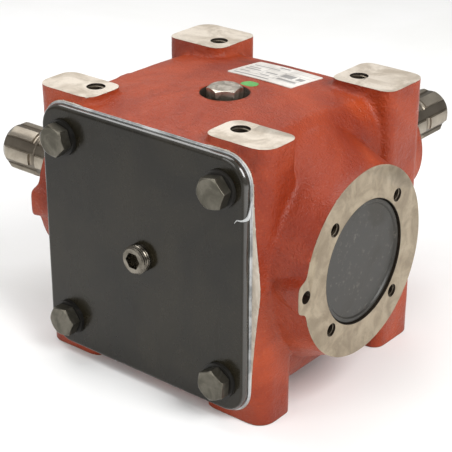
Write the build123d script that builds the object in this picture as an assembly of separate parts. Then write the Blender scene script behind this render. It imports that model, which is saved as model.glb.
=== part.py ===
from build123d import *
from math import acos, asin, atan, cos, hypot, pi, radians, sin, tan
import os

# Right-angle bevel gearbox, millimetres.  The origin is the centre of the lower bolt pattern,
# on the plane of the lower pads.  X runs along the output shaft, Y along the input shaft and
# Z is up.  The front cover faces -Y, the output spline leaves on -X, the input spline on +Y.

# ---- castings: four columns with machined pads, and the body between them ----
pad_height = 183.0            # lower pad plane to upper pad plane
pad_pitch_x = 116.0           # tapped holes in the pads
pad_pitch_y = 122.0
pad_hole_dia = 12.0           # M14 core
pad_hole_depth = 16.0         # stops above the cover's screw holes
column_half_x = 92.5          # outer side of the columns
pad_length_x = 47.5
front_column_y = -80.5        # outer face of the front columns
front_pad_depth = 31.5
back_column_y = 88.0          # outer face of the back columns
back_pad_depth = 42.5
column_outer_round = 11.0
column_inner_round = 8.0
body_half_x = 86.0
body_back_y = 78.0
body_crown_gap = 1.6          # pad plane down to the top of the crowned body
body_crown_radius = 650.0
shoulder_round = 30.0
cavity_side = 18.5            # outer side of the columns to the cavity
cavity_cover = 17.5           # pad planes to the cavity
cavity_corner = 60.0
cavity_back_y = 64.0
drill_point = 0.6             # depth of a drilled point for each radius

# ---- shaft lines ----
shaft_rise = 6.0              # shaft lines above the middle of the casting
output_line_y = -14.0         # the output shaft lies along X at this Y
input_line_x = 8.0            # the input shaft lies along Y at this X
side_reach = 109.5            # input line to each side flange face
input_face_y = 156.0          # end face of the input neck

# ---- side flanges ----
flange_radius = 61.0
flange_rim = 6.0              # straight part of the neck behind the face
neck_root_drop = 8.5          # upper pad plane down to the top of the neck's root
neck_root_wide = 62.0         # half width there
neck_buried = 8.0             # how far the neck's root lies inside the body
output_bore = 80.0
flange_pitch_dia = 93.4
flange_hole_dia = 8.5         # M10 core
flange_hole_depth = 20.0
flange_hole_count = 4
flange_hole_turn = 45.0
ear_offset = 60.0
ear_radius = 11.0
ear_length = 24.0
ear_root_radius = 9.0
ear_root_offset = 53.0        # the ear leans towards the shaft line as it nears the body
ear_hole_dia = 8.0
ear_hole_depth = 15.0

# ---- input neck ----
input_bore = 72.0
neck_radius = 44.5
neck_skirt_radius = 68.0      # foot of the neck, on the body's back wall
neck_skirt_y = 76.0
neck_root_radius = 62.0
neck_root_y = 83.0
neck_taper_radius = 46.5      # where the taper turns into the straight neck
neck_taper_end_y = 118.0
boss_wall = 8.0               # inner bosses round the bearing seats
boss_reach = 10.0
boss_root = 8.0               # how far a boss runs into the wall behind it
boss_past_seat = 3.0
seat_shoulder = 4.0           # step in a bore that stops a bearing
past = 1.0                    # how far a cut runs past a face
beyond = 600.0                # larger than the whole casting

# ---- front cover ----
front_face_y = -81.5          # machined face that carries the cover
cover_side = 10.0             # outer side of the columns to the cover's edge
cover_drop = 7.0              # pad planes to the cover's edge
cover_corner = 17.0
cover_thickness = 4.7
cover_edge_round = 3.0
cover_screw_x = 18.75         # cover's edge to the screws
cover_screw_z = 20.75
sealant_thickness = 0.8
sealant_overhang = 1.3
face_margin = 0.8             # machined face shown round the cover
face_depth = 7.0              # thickness of the raised face
cheek_x = 89.8                # tip of the machined face beside the cover
cheek_tip = 2.5               # heights from the middle of the casting: the tip,
cheek_low = -63.5             # and where the cheek starts and ends
cheek_high = 64.5
cheek_draft = 25.0

# ---- cover fasteners ----
bolt_dia = 12.0
bolt_flats = 19.0
bolt_head = 7.5
bolt_grip = 20.0              # shank in the casting
bolt_hole_depth = 24.0
bolt_turns = (6.0, 45.5, 26.0, 11.0)   # where each head's corners came to rest
hex_half_angle = 30.0         # degrees from a flat's middle to its corner
hex_chamfer_angle = 30.0
hex_top_share = 0.96          # round top of a hexagon head, as a share of its flats
washer_dia = 24.0
washer_thickness = 2.5
level_plug_dia = 18.0
level_plug_proud = 7.0
level_plug_length = 15.0
level_plug_socket = 10.0
level_socket_depth = 6.0
level_nut_dia = 30.0
level_nut_length = 6.0

# ---- filler plug ----
filler_recess_dia = 32.0
filler_recess_depth = 7.2
filler_plug_dia = 16.0
filler_flats = 20.0
filler_head = 9.6
filler_shank = 11.0
filler_washer_dia = 22.0
filler_washer_thickness = 1.5
filler_boss_dia = 34.0
filler_boss_depth = 16.2      # underside of the inner boss, below the top of the casting
filler_turn = 39.0

# ---- rating plate ----
plate_length = 52.0
plate_width = 36.0
plate_thickness = 0.5
plate_corner = 1.5
plate_y = 38.0

# ---- splined ends, 1-3/8 inch with six teeth ----
spline_major = 34.8
spline_minor = 29.4
spline_tooth = 8.6
spline_count = 6
spline_length = 66.0
shaft_proud = 84.0            # spline end to the face of its neck
spline_groove_at = 30.8
spline_groove_radius = 3.4
spline_chamfer = 4.5
spline_chamfer_angle = 30.0
spline_groove_out = 0.6       # groove centre outside the major diameter
neck_step = 3.0               # lead-in between a journal and the spline's neck

# ---- bevel gears ----
module_size = 5.0
pinion_teeth = 15
crown_teeth = 23
gear_face = 20.0
pressure_angle = 22.5
pinion_addendum = 5.6
crown_addendum = 4.2
tooth_root_gap = 1.2
tooth_backlash = 0.35
tooth_shift = 0.02            # share of the pitch that the pinion's teeth gain
flank_points = 5
crown_hub_dia = 70.0
crown_web = 6.0
crown_rim = 6.0
web_step = 1.5                # small steps where the teeth join the gear body
hub_blend = 3.0
keyway_past = 5.0             # how far a gear's keyway runs past its faces
crown_nose_dia = 60.0
crown_nose_at = 24.0          # apex to the crown's front face
pinion_hub_dia = 50.0
pinion_nose_at = 37.0         # apex to the pinion's front face

# ---- shafts ----
output_journal = 40.0
output_seat = 46.0            # crown gear seat
output_collar = 56.0
output_collar_at = 63.0       # apex to the near side of the collar
output_collar_length = 7.0
input_journal = 35.0
input_nose_at = 33.0          # apex to the input shaft's inner end
end_chamfer = 1.0
output_key = (14.0, 9.0, 32.0)    # width, height, length
input_key = (10.0, 8.0, 24.0)
key_share = 0.6               # share of a key's height that is in the shaft

# ---- bearings, seals, caps and rings ----
output_bearing_width = 18.0
input_bearing_width = 17.0
ring_share = 0.26             # ring thickness as a share of the bearing's section
race_tilt = 12.0              # degrees between the bearing line and a roller's line
roller_taper = 2.4            # degrees, half the cone angle of a roller
roller_count = 14
roller_length_share = 0.66    # roller length as a share of the bearing's width
small_rib_height = 0.9
big_rib_height = 2.0
cage_sheet = 1.3
cage_rim = 2.0
seal_width = 10.0
seal_case = 2.0
seal_lip_width = 2.5
seal_lip_thick = 2.8
seal_lip_at = 6.4             # lip's edge, from the seal's outer face
seal_lip_end = 7.0
seal_lip_rise = 0.8
cap_thickness = 11.5
cap_recess = 1.5
cap_rim = 3.0
cap_dish = 0.9
cap_sheet = 2.0
clip_thickness = 2.5
clip_depth = 1.6
shaft_clip_depth = 1.3        # grooves in the shafts
clip_eye = 2.8                # radius of the lug at each end of a ring
clip_eye_hole = 1.2
clip_eye_turn = 4.0           # degrees from the gap to the lug's middle
clip_eye_in = 0.8
clip_inside = 3.6
shaft_clip_outside = 3.0
clip_gap_angle = 26.0
shaft_clip_thickness = 1.75
input_bearing_spacing = 50.0  # between the two input bearings
spacer_wall = 3.5

# ---- clearances ----
seat_gap = 0.03               # ring on its seat, radial
running_gap = 0.10            # seal lip on its shaft, radial
bolt_gap = 0.10
roller_gap = 0.15
cage_gap = 0.30
end_gap = 0.10                # ring to clip
cover_hole_gap = 0.75

# ---- sizes that follow ----
mid_height = pad_height / 2
shaft_height = mid_height + shaft_rise
neck_root_high = pad_height - shaft_height - neck_root_drop
cavity_half_x = column_half_x - cavity_side
cavity_half_z = mid_height - cavity_cover
cover_half_x = column_half_x - cover_side
cover_half_z = mid_height - cover_drop
cover_reach_x = cover_half_x - cover_screw_x    # centre of the cover to its screws
cover_reach_z = cover_half_z - cover_screw_z
right_face_x = input_line_x + side_reach
left_face_x = input_line_x - side_reach
input_end_y = input_face_y + shaft_proud
output_end_x = left_face_x - shaft_proud
cover_back_y = front_face_y - sealant_thickness
crown_pitch_radius = module_size * crown_teeth / 2
pinion_pitch_radius = module_size * pinion_teeth / 2
apex = (input_line_x, output_line_y, shaft_height)

along_x = Plane(origin=(0, output_line_y, shaft_height), x_dir=(0, 1, 0), z_dir=(1, 0, 0))
along_y = Plane(origin=(input_line_x, 0, shaft_height), x_dir=(-1, 0, 0), z_dir=(0, 1, 0))


def turned(points, frame):
    """Solid of revolution: points are (radius, distance along the frame's normal)."""
    outline = Polyline(*[(r, 0, d) for r, d in points], close=True)
    return frame.location * revolve(make_face(outline), Axis.Z, 360)


def tube(outer, inner, start, end, frame):
    """Ring between two radii and two distances along the frame's normal."""
    return turned([(inner, start), (outer, start), (outer, end), (inner, end)], frame)


def rod(radius, start, end, frame):
    """Round bar between two distances along the frame's normal."""
    return frame.location * Pos(0, 0, start) * extrude(Circle(radius), end - start)


def on_circle(count, first=0.0):
    """Angles of evenly spaced places round a full turn."""
    return [first + 360.0 * i / count for i in range(count)]


def four(half_u, half_v):
    """The four corners of a rectangle about its centre."""
    return [(u, v) for u in (-half_u, half_u) for v in (-half_v, half_v)]


# ---------------------------------------------------------------- housing

def column(side_x, near_y, depth):
    """One corner column, from pad plane to pad plane, its outer edge rounder than the others."""
    outer_x = side_x * column_half_x
    centre_x = outer_x - side_x * pad_length_x / 2
    block = Pos(centre_x, near_y + depth / 2, mid_height) * Box(pad_length_x, depth, pad_height)
    front = near_y < 0
    face_y = near_y if front else near_y + depth
    outer = [e for e in block.edges().filter_by(Axis.Z)
             if abs(e.center().X - outer_x) < 1 and abs(e.center().Y - face_y) < 1]
    block = fillet(outer, column_outer_round)
    others = [e for e in block.edges().filter_by(Axis.Z)
              if not (abs(e.center().X - outer_x) < column_outer_round + 1
                      and abs(e.center().Y - face_y) < column_outer_round + 1)]
    return fillet(others, column_inner_round)


def crowned_body():
    """Body between the columns: flat sides, round shoulders and a slight crown above and below."""
    depth = body_back_y - front_column_y
    block = Pos(0, (body_back_y + front_column_y) / 2, mid_height)
    block = block * Box(2 * body_half_x, depth, pad_height - 2 * body_crown_gap)
    shoulders = [e for e in block.edges().filter_by(Axis.Y)]
    shoulders += [e for e in block.edges().filter_by(Axis.X) if e.center().Y > 0]
    block = fillet(shoulders, shoulder_round)
    rise = pad_height / 2 - body_crown_gap
    for sign in (-1, 1):
        centre_z = mid_height + sign * (rise - body_crown_radius)
        block = block & (Pos(input_line_x, output_line_y, centre_z) * Sphere(body_crown_radius))
    return block


def side_neck(sign):
    """Neck on one side: tall and oval where it leaves the body, round at the flange face."""
    face = right_face_x if sign > 0 else left_face_x
    root = Plane(origin=(sign * (body_half_x - neck_buried), output_line_y, shaft_height),
                 x_dir=(0, 1, 0), z_dir=(1, 0, 0))
    rim = Plane(origin=(face - sign * flange_rim, output_line_y, shaft_height),
                x_dir=(0, 1, 0), z_dir=(1, 0, 0))
    flare = loft([root.location * Ellipse(neck_root_wide, neck_root_high),
                  rim.location * Circle(flange_radius)])
    return flare + rod(flange_radius, min(face, rim.origin.X), max(face, rim.origin.X), along_x)


def flange_ear(sign):
    """Lug beside a side flange, on its front edge, leaning back into the body."""
    face = right_face_x if sign > 0 else left_face_x
    tip = Plane(origin=(face, output_line_y - ear_offset, shaft_height), x_dir=(0, 1, 0),
                z_dir=(1, 0, 0))
    root = Plane(origin=(face - sign * ear_length, output_line_y - ear_root_offset, shaft_height),
                 x_dir=(0, 1, 0), z_dir=(1, 0, 0))
    return loft([tip.location * Circle(ear_radius), root.location * Circle(ear_root_radius)])


def input_neck():
    """Neck round the input bearings."""
    return turned([(0, cavity_back_y), (neck_skirt_radius, cavity_back_y),
                   (neck_skirt_radius, neck_skirt_y), (neck_root_radius, neck_root_y),
                   (neck_taper_radius, neck_taper_end_y), (neck_radius, input_face_y),
                   (0, input_face_y)], along_y)


def front_pad():
    """Raised face round the cover, with a cheek beside each flange."""
    u, v = cover_half_x + face_margin, cover_half_z + face_margin
    outline = RectangleRounded(2 * u, 2 * v, cover_corner + face_margin)
    frame = Plane(origin=(0, front_face_y, mid_height), x_dir=(1, 0, 0), z_dir=(0, -1, 0))
    pad = extrude(outline, -face_depth)
    for side in (-1, 1):
        cheek = Polygon((0, cheek_low), (side * cover_half_x, cheek_low), (side * cheek_x, cheek_tip),
                        (side * cover_half_x, cheek_high), (0, cheek_high), align=None)
        pad = pad + extrude(cheek, -face_depth, taper=-cheek_draft)
    return frame.location * pad


def cavity():
    """Room for the gears, open at the front."""
    outline = RectangleRounded(2 * cavity_half_x, 2 * cavity_half_z, cavity_corner)
    spot = Plane(origin=(0, front_face_y - past, (mid_height + shaft_height) / 2),
                 x_dir=(1, 0, 0), z_dir=(0, 1, 0))
    return spot.location * extrude(outline, cavity_back_y - front_face_y + past)


def seat_places():
    """Where each bearing, clip, seal and cap stands along its own line."""
    places = {}
    places["right_clip"] = right_face_x - cap_recess - cap_thickness - end_gap - clip_thickness
    places["right_bearing"] = places["right_clip"] - end_gap - output_bearing_width
    places["left_seal"] = left_face_x + 1.0
    places["left_clip"] = places["left_seal"] + seal_width + end_gap
    places["left_bearing"] = places["left_clip"] + clip_thickness + end_gap
    places["input_seal"] = input_face_y - 1.0 - seal_width
    places["input_clip"] = places["input_seal"] - end_gap - clip_thickness
    places["outer_bearing"] = places["input_clip"] - end_gap - input_bearing_width
    places["inner_bearing"] = places["outer_bearing"] - input_bearing_spacing - input_bearing_width
    return places


place = seat_places()


def tapped(dia, depth, frame):
    """Blind tapped hole going against the frame's normal, with a drilled point at its end."""
    r = dia / 2
    return turned([(0, 1), (r, 1), (r, -depth), (0, -depth - r * drill_point)], frame)


def housing_bores():
    """Everything bored, drilled or faced after casting."""
    cuts = []
    r = output_bore / 2
    right_stop = place["right_bearing"]
    left_stop = place["left_bearing"] + output_bearing_width
    cuts.append(rod(r, right_stop, right_face_x + past, along_x))
    cuts.append(rod(r - seat_shoulder, 0, right_stop + past, along_x))
    cuts.append(rod(r, left_face_x - past, left_stop, along_x))
    cuts.append(rod(r - seat_shoulder, left_stop - past, 0, along_x))
    for name in ("right_clip", "left_clip"):
        cuts.append(tube(r + clip_depth, r - past, place[name], place[name] + clip_thickness,
                         along_x))
    q = input_bore / 2
    cuts.append(rod(q, place["outer_bearing"], input_face_y + past, along_y))
    cuts.append(rod(q - seat_shoulder, cavity_back_y - past, input_face_y, along_y))
    inner_stop = place["inner_bearing"] + input_bearing_width
    cuts.append(rod(q, cavity_back_y - boss_reach - past, inner_stop, along_y))
    cuts.append(tube(q + clip_depth, q - past, place["input_clip"],
                     place["input_clip"] + clip_thickness, along_y))
    for x, y in four(pad_pitch_x / 2, pad_pitch_y / 2):
        cuts.append(tapped(pad_hole_dia, pad_hole_depth, Plane(origin=(x, y, pad_height))))
        cuts.append(tapped(pad_hole_dia, pad_hole_depth,
                           Plane(origin=(x, y, 0), x_dir=(1, 0, 0), z_dir=(0, 0, -1))))
    for u, w in four(cover_reach_x, cover_reach_z):
        frame = Plane(origin=(u, front_face_y, mid_height + w), x_dir=(1, 0, 0), z_dir=(0, -1, 0))
        cuts.append(tapped(bolt_dia + 2 * bolt_gap, bolt_hole_depth, frame))
    for sign, face in ((1, right_face_x), (-1, left_face_x)):
        for angle in on_circle(flange_hole_count, flange_hole_turn):
            a = radians(angle)
            spot = (face, output_line_y + flange_pitch_dia / 2 * cos(a),
                    shaft_height + flange_pitch_dia / 2 * sin(a))
            frame = Plane(origin=spot, x_dir=(0, 1, 0), z_dir=(sign, 0, 0))
            cuts.append(tapped(flange_hole_dia, flange_hole_depth, frame))
        ear = Plane(origin=(face, output_line_y - ear_offset, shaft_height), x_dir=(0, 1, 0),
                    z_dir=(sign, 0, 0))
        cuts.append(tapped(ear_hole_dia, ear_hole_depth, ear))
    top = Plane(origin=(input_line_x, output_line_y, pad_height - body_crown_gap))
    cuts.append(rod(filler_recess_dia / 2, -filler_recess_depth, past, top))
    cuts.append(rod(filler_plug_dia / 2 + bolt_gap, -filler_boss_depth - past, 0, top))
    return cuts


def build_housing():
    """The casting, hollowed, then machined."""
    solid = crowned_body()
    for side in (-1, 1):
        solid = solid + column(side, front_column_y, front_pad_depth)
        solid = solid + column(side, back_column_y - back_pad_depth, back_pad_depth)
        solid = solid + side_neck(side) + flange_ear(side)
    solid = solid + input_neck() + front_pad()
    keep = Pos(0, front_face_y + beyond / 2, mid_height) * Box(beyond, beyond, beyond)
    solid = (solid & keep) - cavity()
    wall = output_bore / 2 + boss_wall
    solid = solid + rod(wall, cavity_half_x - past, cavity_half_x + boss_root, along_x)
    left_stop = place["left_bearing"] + output_bearing_width
    solid = solid + rod(wall, -cavity_half_x - boss_root, left_stop + boss_past_seat, along_x)
    solid = solid + rod(input_bore / 2 + boss_wall, cavity_back_y - boss_reach,
                        cavity_back_y + boss_root, along_y)
    top = Plane(origin=(input_line_x, output_line_y, pad_height - body_crown_gap))
    solid = solid + rod(filler_boss_dia / 2, -filler_boss_depth, -filler_recess_depth, top)
    for cut in housing_bores():
        solid = solid - cut
    return solid


# ---------------------------------------------------------------- cover and its fasteners

cover_frame = Plane(origin=(0, cover_back_y, mid_height), x_dir=(1, 0, 0), z_dir=(0, -1, 0))


def hex_prism(flats, start, end, turn):
    """Hexagonal prism along Z with its upper corners turned off."""
    across = flats / cos(radians(hex_half_angle))
    prism = Pos(0, 0, start) * Rot(0, 0, turn) * extrude(RegularPolygon(across / 2, 6), end - start)
    limit = across / 2
    top = flats / 2 * hex_top_share
    drop = (limit - top) * tan(radians(hex_chamfer_angle))
    dome = turned([(0, start), (limit, start), (limit, end - drop), (top, end), (0, end)], Plane.XY)
    return prism & dome


def cover_outline(extra=0.0):
    """Outline of the cover, or of something that much larger all round."""
    return RectangleRounded(2 * (cover_half_x + extra), 2 * (cover_half_z + extra),
                            cover_corner + extra)


def build_cover():
    """Front cover: a thick pressed plate with rolled edges, four bolt holes and a plug hole."""
    plate = extrude(cover_outline(), cover_thickness)
    front = plate.faces().sort_by(Axis.Z)[-1]
    plate = fillet(front.edges(), cover_edge_round)
    for u, w in four(cover_reach_x, cover_reach_z):
        plate = plate - Pos(u, w, 0) * Cylinder(bolt_dia / 2 + cover_hole_gap, 4 * cover_thickness)
    plate = plate - Cylinder(level_plug_dia / 2 + bolt_gap, 4 * cover_thickness)
    return cover_frame.location * plate


def build_sealant():
    """Sealing compound between the cover and the casting, squeezed out a little all round."""
    bead = extrude(cover_outline(sealant_overhang), sealant_thickness)
    opening = RectangleRounded(2 * (cavity_half_x + past), 2 * (cavity_half_z + past),
                               cavity_corner)
    shift = (shaft_height - mid_height) / 2
    bead = bead - Pos(0, shift, -past) * extrude(opening, sealant_thickness + 2 * past)
    for u, w in four(cover_reach_x, cover_reach_z):
        bead = bead - Pos(u, w, 0) * Cylinder(bolt_dia / 2 + cover_hole_gap, 4 * sealant_thickness)
    return Plane(origin=(0, front_face_y, mid_height), x_dir=(1, 0, 0),
                 z_dir=(0, -1, 0)).location * bead


def build_cover_bolts():
    """Four hexagon screws through the cover into the casting."""
    screws = []
    seat = cover_thickness + washer_thickness
    for (u, w), turn in zip(four(cover_reach_x, cover_reach_z), bolt_turns):
        head = hex_prism(bolt_flats, seat, seat + bolt_head, turn)
        tip = -sealant_thickness - bolt_grip
        r = bolt_dia / 2
        shank = turned([(0, tip), (r - end_chamfer, tip), (r, tip + end_chamfer), (r, seat + 1),
                        (0, seat + 1)], Plane.XY)
        screws.append(cover_frame.location * Pos(u, w, 0) * (head + shank))
    return screws


def build_cover_washers():
    """Flat washers under the cover screws."""
    rings = []
    for u, w in four(cover_reach_x, cover_reach_z):
        ring = tube(washer_dia / 2, bolt_dia / 2 + bolt_gap, cover_thickness,
                    cover_thickness + washer_thickness, Plane.XY)
        rings.append(cover_frame.location * Pos(u, w, 0) * ring)
    return rings


def build_level_plug():
    """Socket plug in the middle of the cover, standing proud of it."""
    top = cover_thickness + level_plug_proud
    r = level_plug_dia / 2
    plug = turned([(0, top - level_plug_length), (r - end_chamfer, top - level_plug_length),
                   (r, top - level_plug_length + end_chamfer), (r, top - end_chamfer),
                   (r - end_chamfer, top), (0, top)], Plane.XY)
    across = level_plug_socket / cos(radians(hex_half_angle))
    socket = extrude(RegularPolygon(across / 2, 6), level_socket_depth + past)
    return cover_frame.location * (plug - Pos(0, 0, top - level_socket_depth) * socket)


def build_level_nut():
    """Round weld nut behind the cover that takes the level plug."""
    return tube(level_nut_dia / 2, level_plug_dia / 2 + bolt_gap, -level_nut_length, 0, cover_frame)


# ---------------------------------------------------------------- top fittings

filler_floor = pad_height - body_crown_gap - filler_recess_depth
filler_frame = Plane(origin=(input_line_x, output_line_y, filler_floor))


def build_filler_washer():
    """Sealing washer under the filler plug."""
    return tube(filler_washer_dia / 2, filler_plug_dia / 2 + bolt_gap, 0, filler_washer_thickness,
                filler_frame)


def build_filler_plug():
    """Hexagon plug in the top recess."""
    seat = filler_washer_thickness
    head = hex_prism(filler_flats, seat, seat + filler_head, filler_turn)
    r = filler_plug_dia / 2
    shank = turned([(0, -filler_shank), (r - end_chamfer, -filler_shank),
                    (r, end_chamfer - filler_shank), (r, seat + 1), (0, seat + 1)], Plane.XY)
    return filler_frame.location * (head + shank)


def build_rating_plate():
    """Thin blank plate that follows the crown of the casting."""
    centre = Pos(input_line_x, output_line_y, pad_height - body_crown_gap - body_crown_radius)
    shell = Sphere(body_crown_radius + plate_thickness) - Sphere(body_crown_radius)
    window = extrude(RectangleRounded(plate_length, plate_width, plate_corner), pad_height)
    return (centre * shell) & (Pos(input_line_x, plate_y, mid_height) * window)


# ---------------------------------------------------------------- bevel gears

pitch_cone = hypot(crown_pitch_radius, pinion_pitch_radius)
crown_angle = atan(crown_teeth / pinion_teeth)
pinion_angle = atan(pinion_teeth / crown_teeth)


def involute_turn(cone, base):
    """Turn of a spherical involute between its base cone and another cone, radians."""
    return acos(min(1.0, cos(cone) / cos(base))) / sin(base) - acos(min(1.0, tan(base) / tan(cone)))


def gear_wire(teeth, angle, addendum, dedendum, share, height):
    """Outline of all teeth on the plane that lies this far from the apex."""
    tip = angle + atan(addendum / pitch_cone)
    root = angle - atan(dedendum / pitch_cone)
    base = asin(sin(angle) * cos(radians(pressure_angle)))
    low = max(base, root) + 1e-4
    half_pitch_turn = share * 2 * pi / teeth / 2

    def point(cone, turn):
        return Vector(height * tan(cone) * cos(turn), height * tan(cone) * sin(turn), height)

    def half_turn(cone):
        return half_pitch_turn + involute_turn(angle, base) - involute_turn(cone, base)

    edges = []
    cones = [low + (tip - low) * i / (flank_points - 1) for i in range(flank_points)]
    for k in range(teeth):
        centre = 2 * pi * k / teeth
        following = 2 * pi * (k + 1) / teeth
        up = [point(c, centre - half_turn(c)) for c in cones]
        down = [point(c, centre + half_turn(c)) for c in reversed(cones)]
        foot_start = point(root, centre - half_turn(low))
        foot_end = point(root, centre + half_turn(low))
        next_foot = point(root, following - half_turn(low))
        if low - root > 2e-4:
            edges.append(Line(foot_start, up[0]))
        edges.append(Spline(*up))
        edges.append(ThreePointArc(up[-1], point(tip, centre), down[0]))
        edges.append(Spline(*down))
        if low - root > 2e-4:
            edges.append(Line(down[-1], foot_end))
            edges.append(ThreePointArc(foot_end, point(root, (centre + following) / 2), next_foot))
        else:
            edges.append(ThreePointArc(down[-1], point(low, (centre + following) / 2),
                                       point(low, following - half_turn(low))))
    return Wire(edges)


def bevel_teeth(teeth, angle, addendum, dedendum, share, ring):
    """Toothed part of a bevel gear, apex at the origin and axis on Z, cut to a turned ring."""
    inner = pitch_cone - gear_face
    near = inner * (cos(angle) - addendum / pitch_cone * sin(angle)) - 1.0
    far = pitch_cone * cos(angle) + dedendum * sin(angle)
    sections = [Face(gear_wire(teeth, angle, addendum, dedendum, share, h)) for h in (near, far)]
    toothed = loft(sections, ruled=True)
    return toothed & turned(ring, Plane.XY)


def cone_points(angle, addendum, dedendum):
    """Corners of the toothed zone: inner root, inner tip, outer tip, outer root, as (r, z)."""
    corners = []
    for reach, height in ((pitch_cone - gear_face, -dedendum), (pitch_cone - gear_face, addendum),
                          (pitch_cone, addendum), (pitch_cone, -dedendum)):
        h = height * reach / pitch_cone
        corners.append((reach * sin(angle) + h * cos(angle), reach * cos(angle) - h * sin(angle)))
    return corners


pinion_dedendum = crown_addendum + tooth_root_gap
crown_dedendum = pinion_addendum + tooth_root_gap
pinion_share = 0.5 + tooth_shift - tooth_backlash / 2 / (module_size * pi)
crown_share = 0.5 - tooth_shift - tooth_backlash / 2 / (module_size * pi)


def keyway(size, seat_radius, start, length, frame):
    """Slot for a parallel key, on the +X side of a frame whose Z is the shaft."""
    width, height, _ = size
    depth = height * key_share
    block = Pos(seat_radius - depth + height / 2, 0, start + length / 2) * Box(height, width, length)
    return frame.location * block


crown_frame = Plane(origin=apex, x_dir=(0, 0, 1), z_dir=(-1, 0, 0))
pinion_frame = Plane(origin=apex, x_dir=(0, 0, 1), z_dir=(0, 1, 0))
crown_key_at = crown_nose_at + 2.0
pinion_hub_end = place["inner_bearing"] - output_line_y
pinion_key_at = pinion_nose_at + 1.5


def build_crown():
    """Large bevel gear on the output shaft."""
    inner_root, inner_tip, outer_tip, outer_root = cone_points(crown_angle, crown_addendum,
                                                               crown_dedendum)
    bore = output_seat / 2 + seat_gap
    back = outer_root[1]
    ring = [(bore, back), outer_root, outer_tip, inner_tip, inner_root, (bore, inner_root[1])]
    gear = bevel_teeth(crown_teeth, crown_angle, crown_addendum, crown_dedendum, crown_share, ring)
    rim = outer_root[0]
    nose = crown_nose_dia / 2
    body = [(bore, crown_nose_at), (nose, crown_nose_at), (nose, inner_root[1] + web_step),
            (rim - crown_rim, back - end_chamfer / 2), (rim, back), (rim - web_step, back + crown_web),
            (crown_hub_dia / 2 + hub_blend, back + crown_web),
            (crown_hub_dia / 2, back + crown_web + hub_blend),
            (crown_hub_dia / 2, output_collar_at - end_chamfer),
            (crown_hub_dia / 2 - end_chamfer, output_collar_at), (bore, output_collar_at)]
    gear = Rot(0, 0, -90 + 180 / crown_teeth) * gear
    gear = gear + turned(body, Plane.XY)
    gear = crown_frame.location * gear
    width, height, length = output_key
    slot = (width + 2 * seat_gap, height + 2 * seat_gap, length)
    return gear - keyway(slot, output_seat / 2, crown_nose_at - keyway_past,
                         output_collar_at - crown_nose_at + 2 * keyway_past, crown_frame)


def build_pinion():
    """Small bevel gear on the input shaft."""
    inner_root, inner_tip, outer_tip, outer_root = cone_points(pinion_angle, pinion_addendum,
                                                               pinion_dedendum)
    bore = input_journal / 2 + seat_gap
    back = outer_root[1]
    ring = [(bore, back), outer_root, outer_tip, inner_tip, inner_root, (bore, inner_root[1])]
    gear = bevel_teeth(pinion_teeth, pinion_angle, pinion_addendum, pinion_dedendum,
                       pinion_share, ring)
    nose = inner_root[0] - end_chamfer
    hub = pinion_hub_dia / 2
    body = [(bore, pinion_nose_at), (nose, pinion_nose_at), (nose, inner_root[1] + web_step),
            (outer_root[0] - hub_blend, back - hub_blend), (outer_root[0] - end_chamfer, back),
            (hub, back + hub_blend),
            (hub, pinion_hub_end - end_chamfer), (hub - end_chamfer, pinion_hub_end),
            (bore, pinion_hub_end)]
    gear = Rot(0, 0, 90) * gear
    gear = gear + turned(body, Plane.XY)
    gear = pinion_frame.location * gear
    width, height, length = input_key
    slot = (width + 2 * seat_gap, height + 2 * seat_gap, length)
    return gear - keyway(slot, input_journal / 2, pinion_nose_at - keyway_past,
                         pinion_hub_end - pinion_nose_at + 2 * keyway_past, pinion_frame)


def build_key(size, seat_radius, start, frame):
    """Parallel key lying in its shaft slot."""
    return keyway(size, seat_radius, start, size[2], frame)


# ---------------------------------------------------------------- shafts

def splined(frame, end, start):
    """Six-spline bar between two distances along a frame, chamfered at the end."""
    length = abs(end - start)
    core = Circle(spline_minor / 2)
    tooth = Pos(spline_major / 4, 0) * Rectangle(spline_major / 2 + 2 * past, spline_tooth)
    for angle in on_circle(spline_count):
        core = core + Rot(0, 0, angle) * tooth
    section = core & Circle(spline_major / 2)
    bar = Pos(0, 0, min(start, end)) * extrude(section, length)
    toward = 1 if end > start else -1
    r = spline_major / 2
    slope = r - spline_chamfer * tan(radians(spline_chamfer_angle))
    envelope = turned([(0, start), (r + 1, start), (r + 1, end - toward * spline_chamfer),
                       (r, end - toward * spline_chamfer), (slope, end), (0, end)], Plane.XY)
    ring_at = end - toward * spline_groove_at
    groove = revolve(Plane.XZ * Pos(r + spline_groove_out, ring_at) * Circle(spline_groove_radius),
                     Axis.Z, 360)
    return frame.location * ((bar & envelope) - groove)


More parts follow.
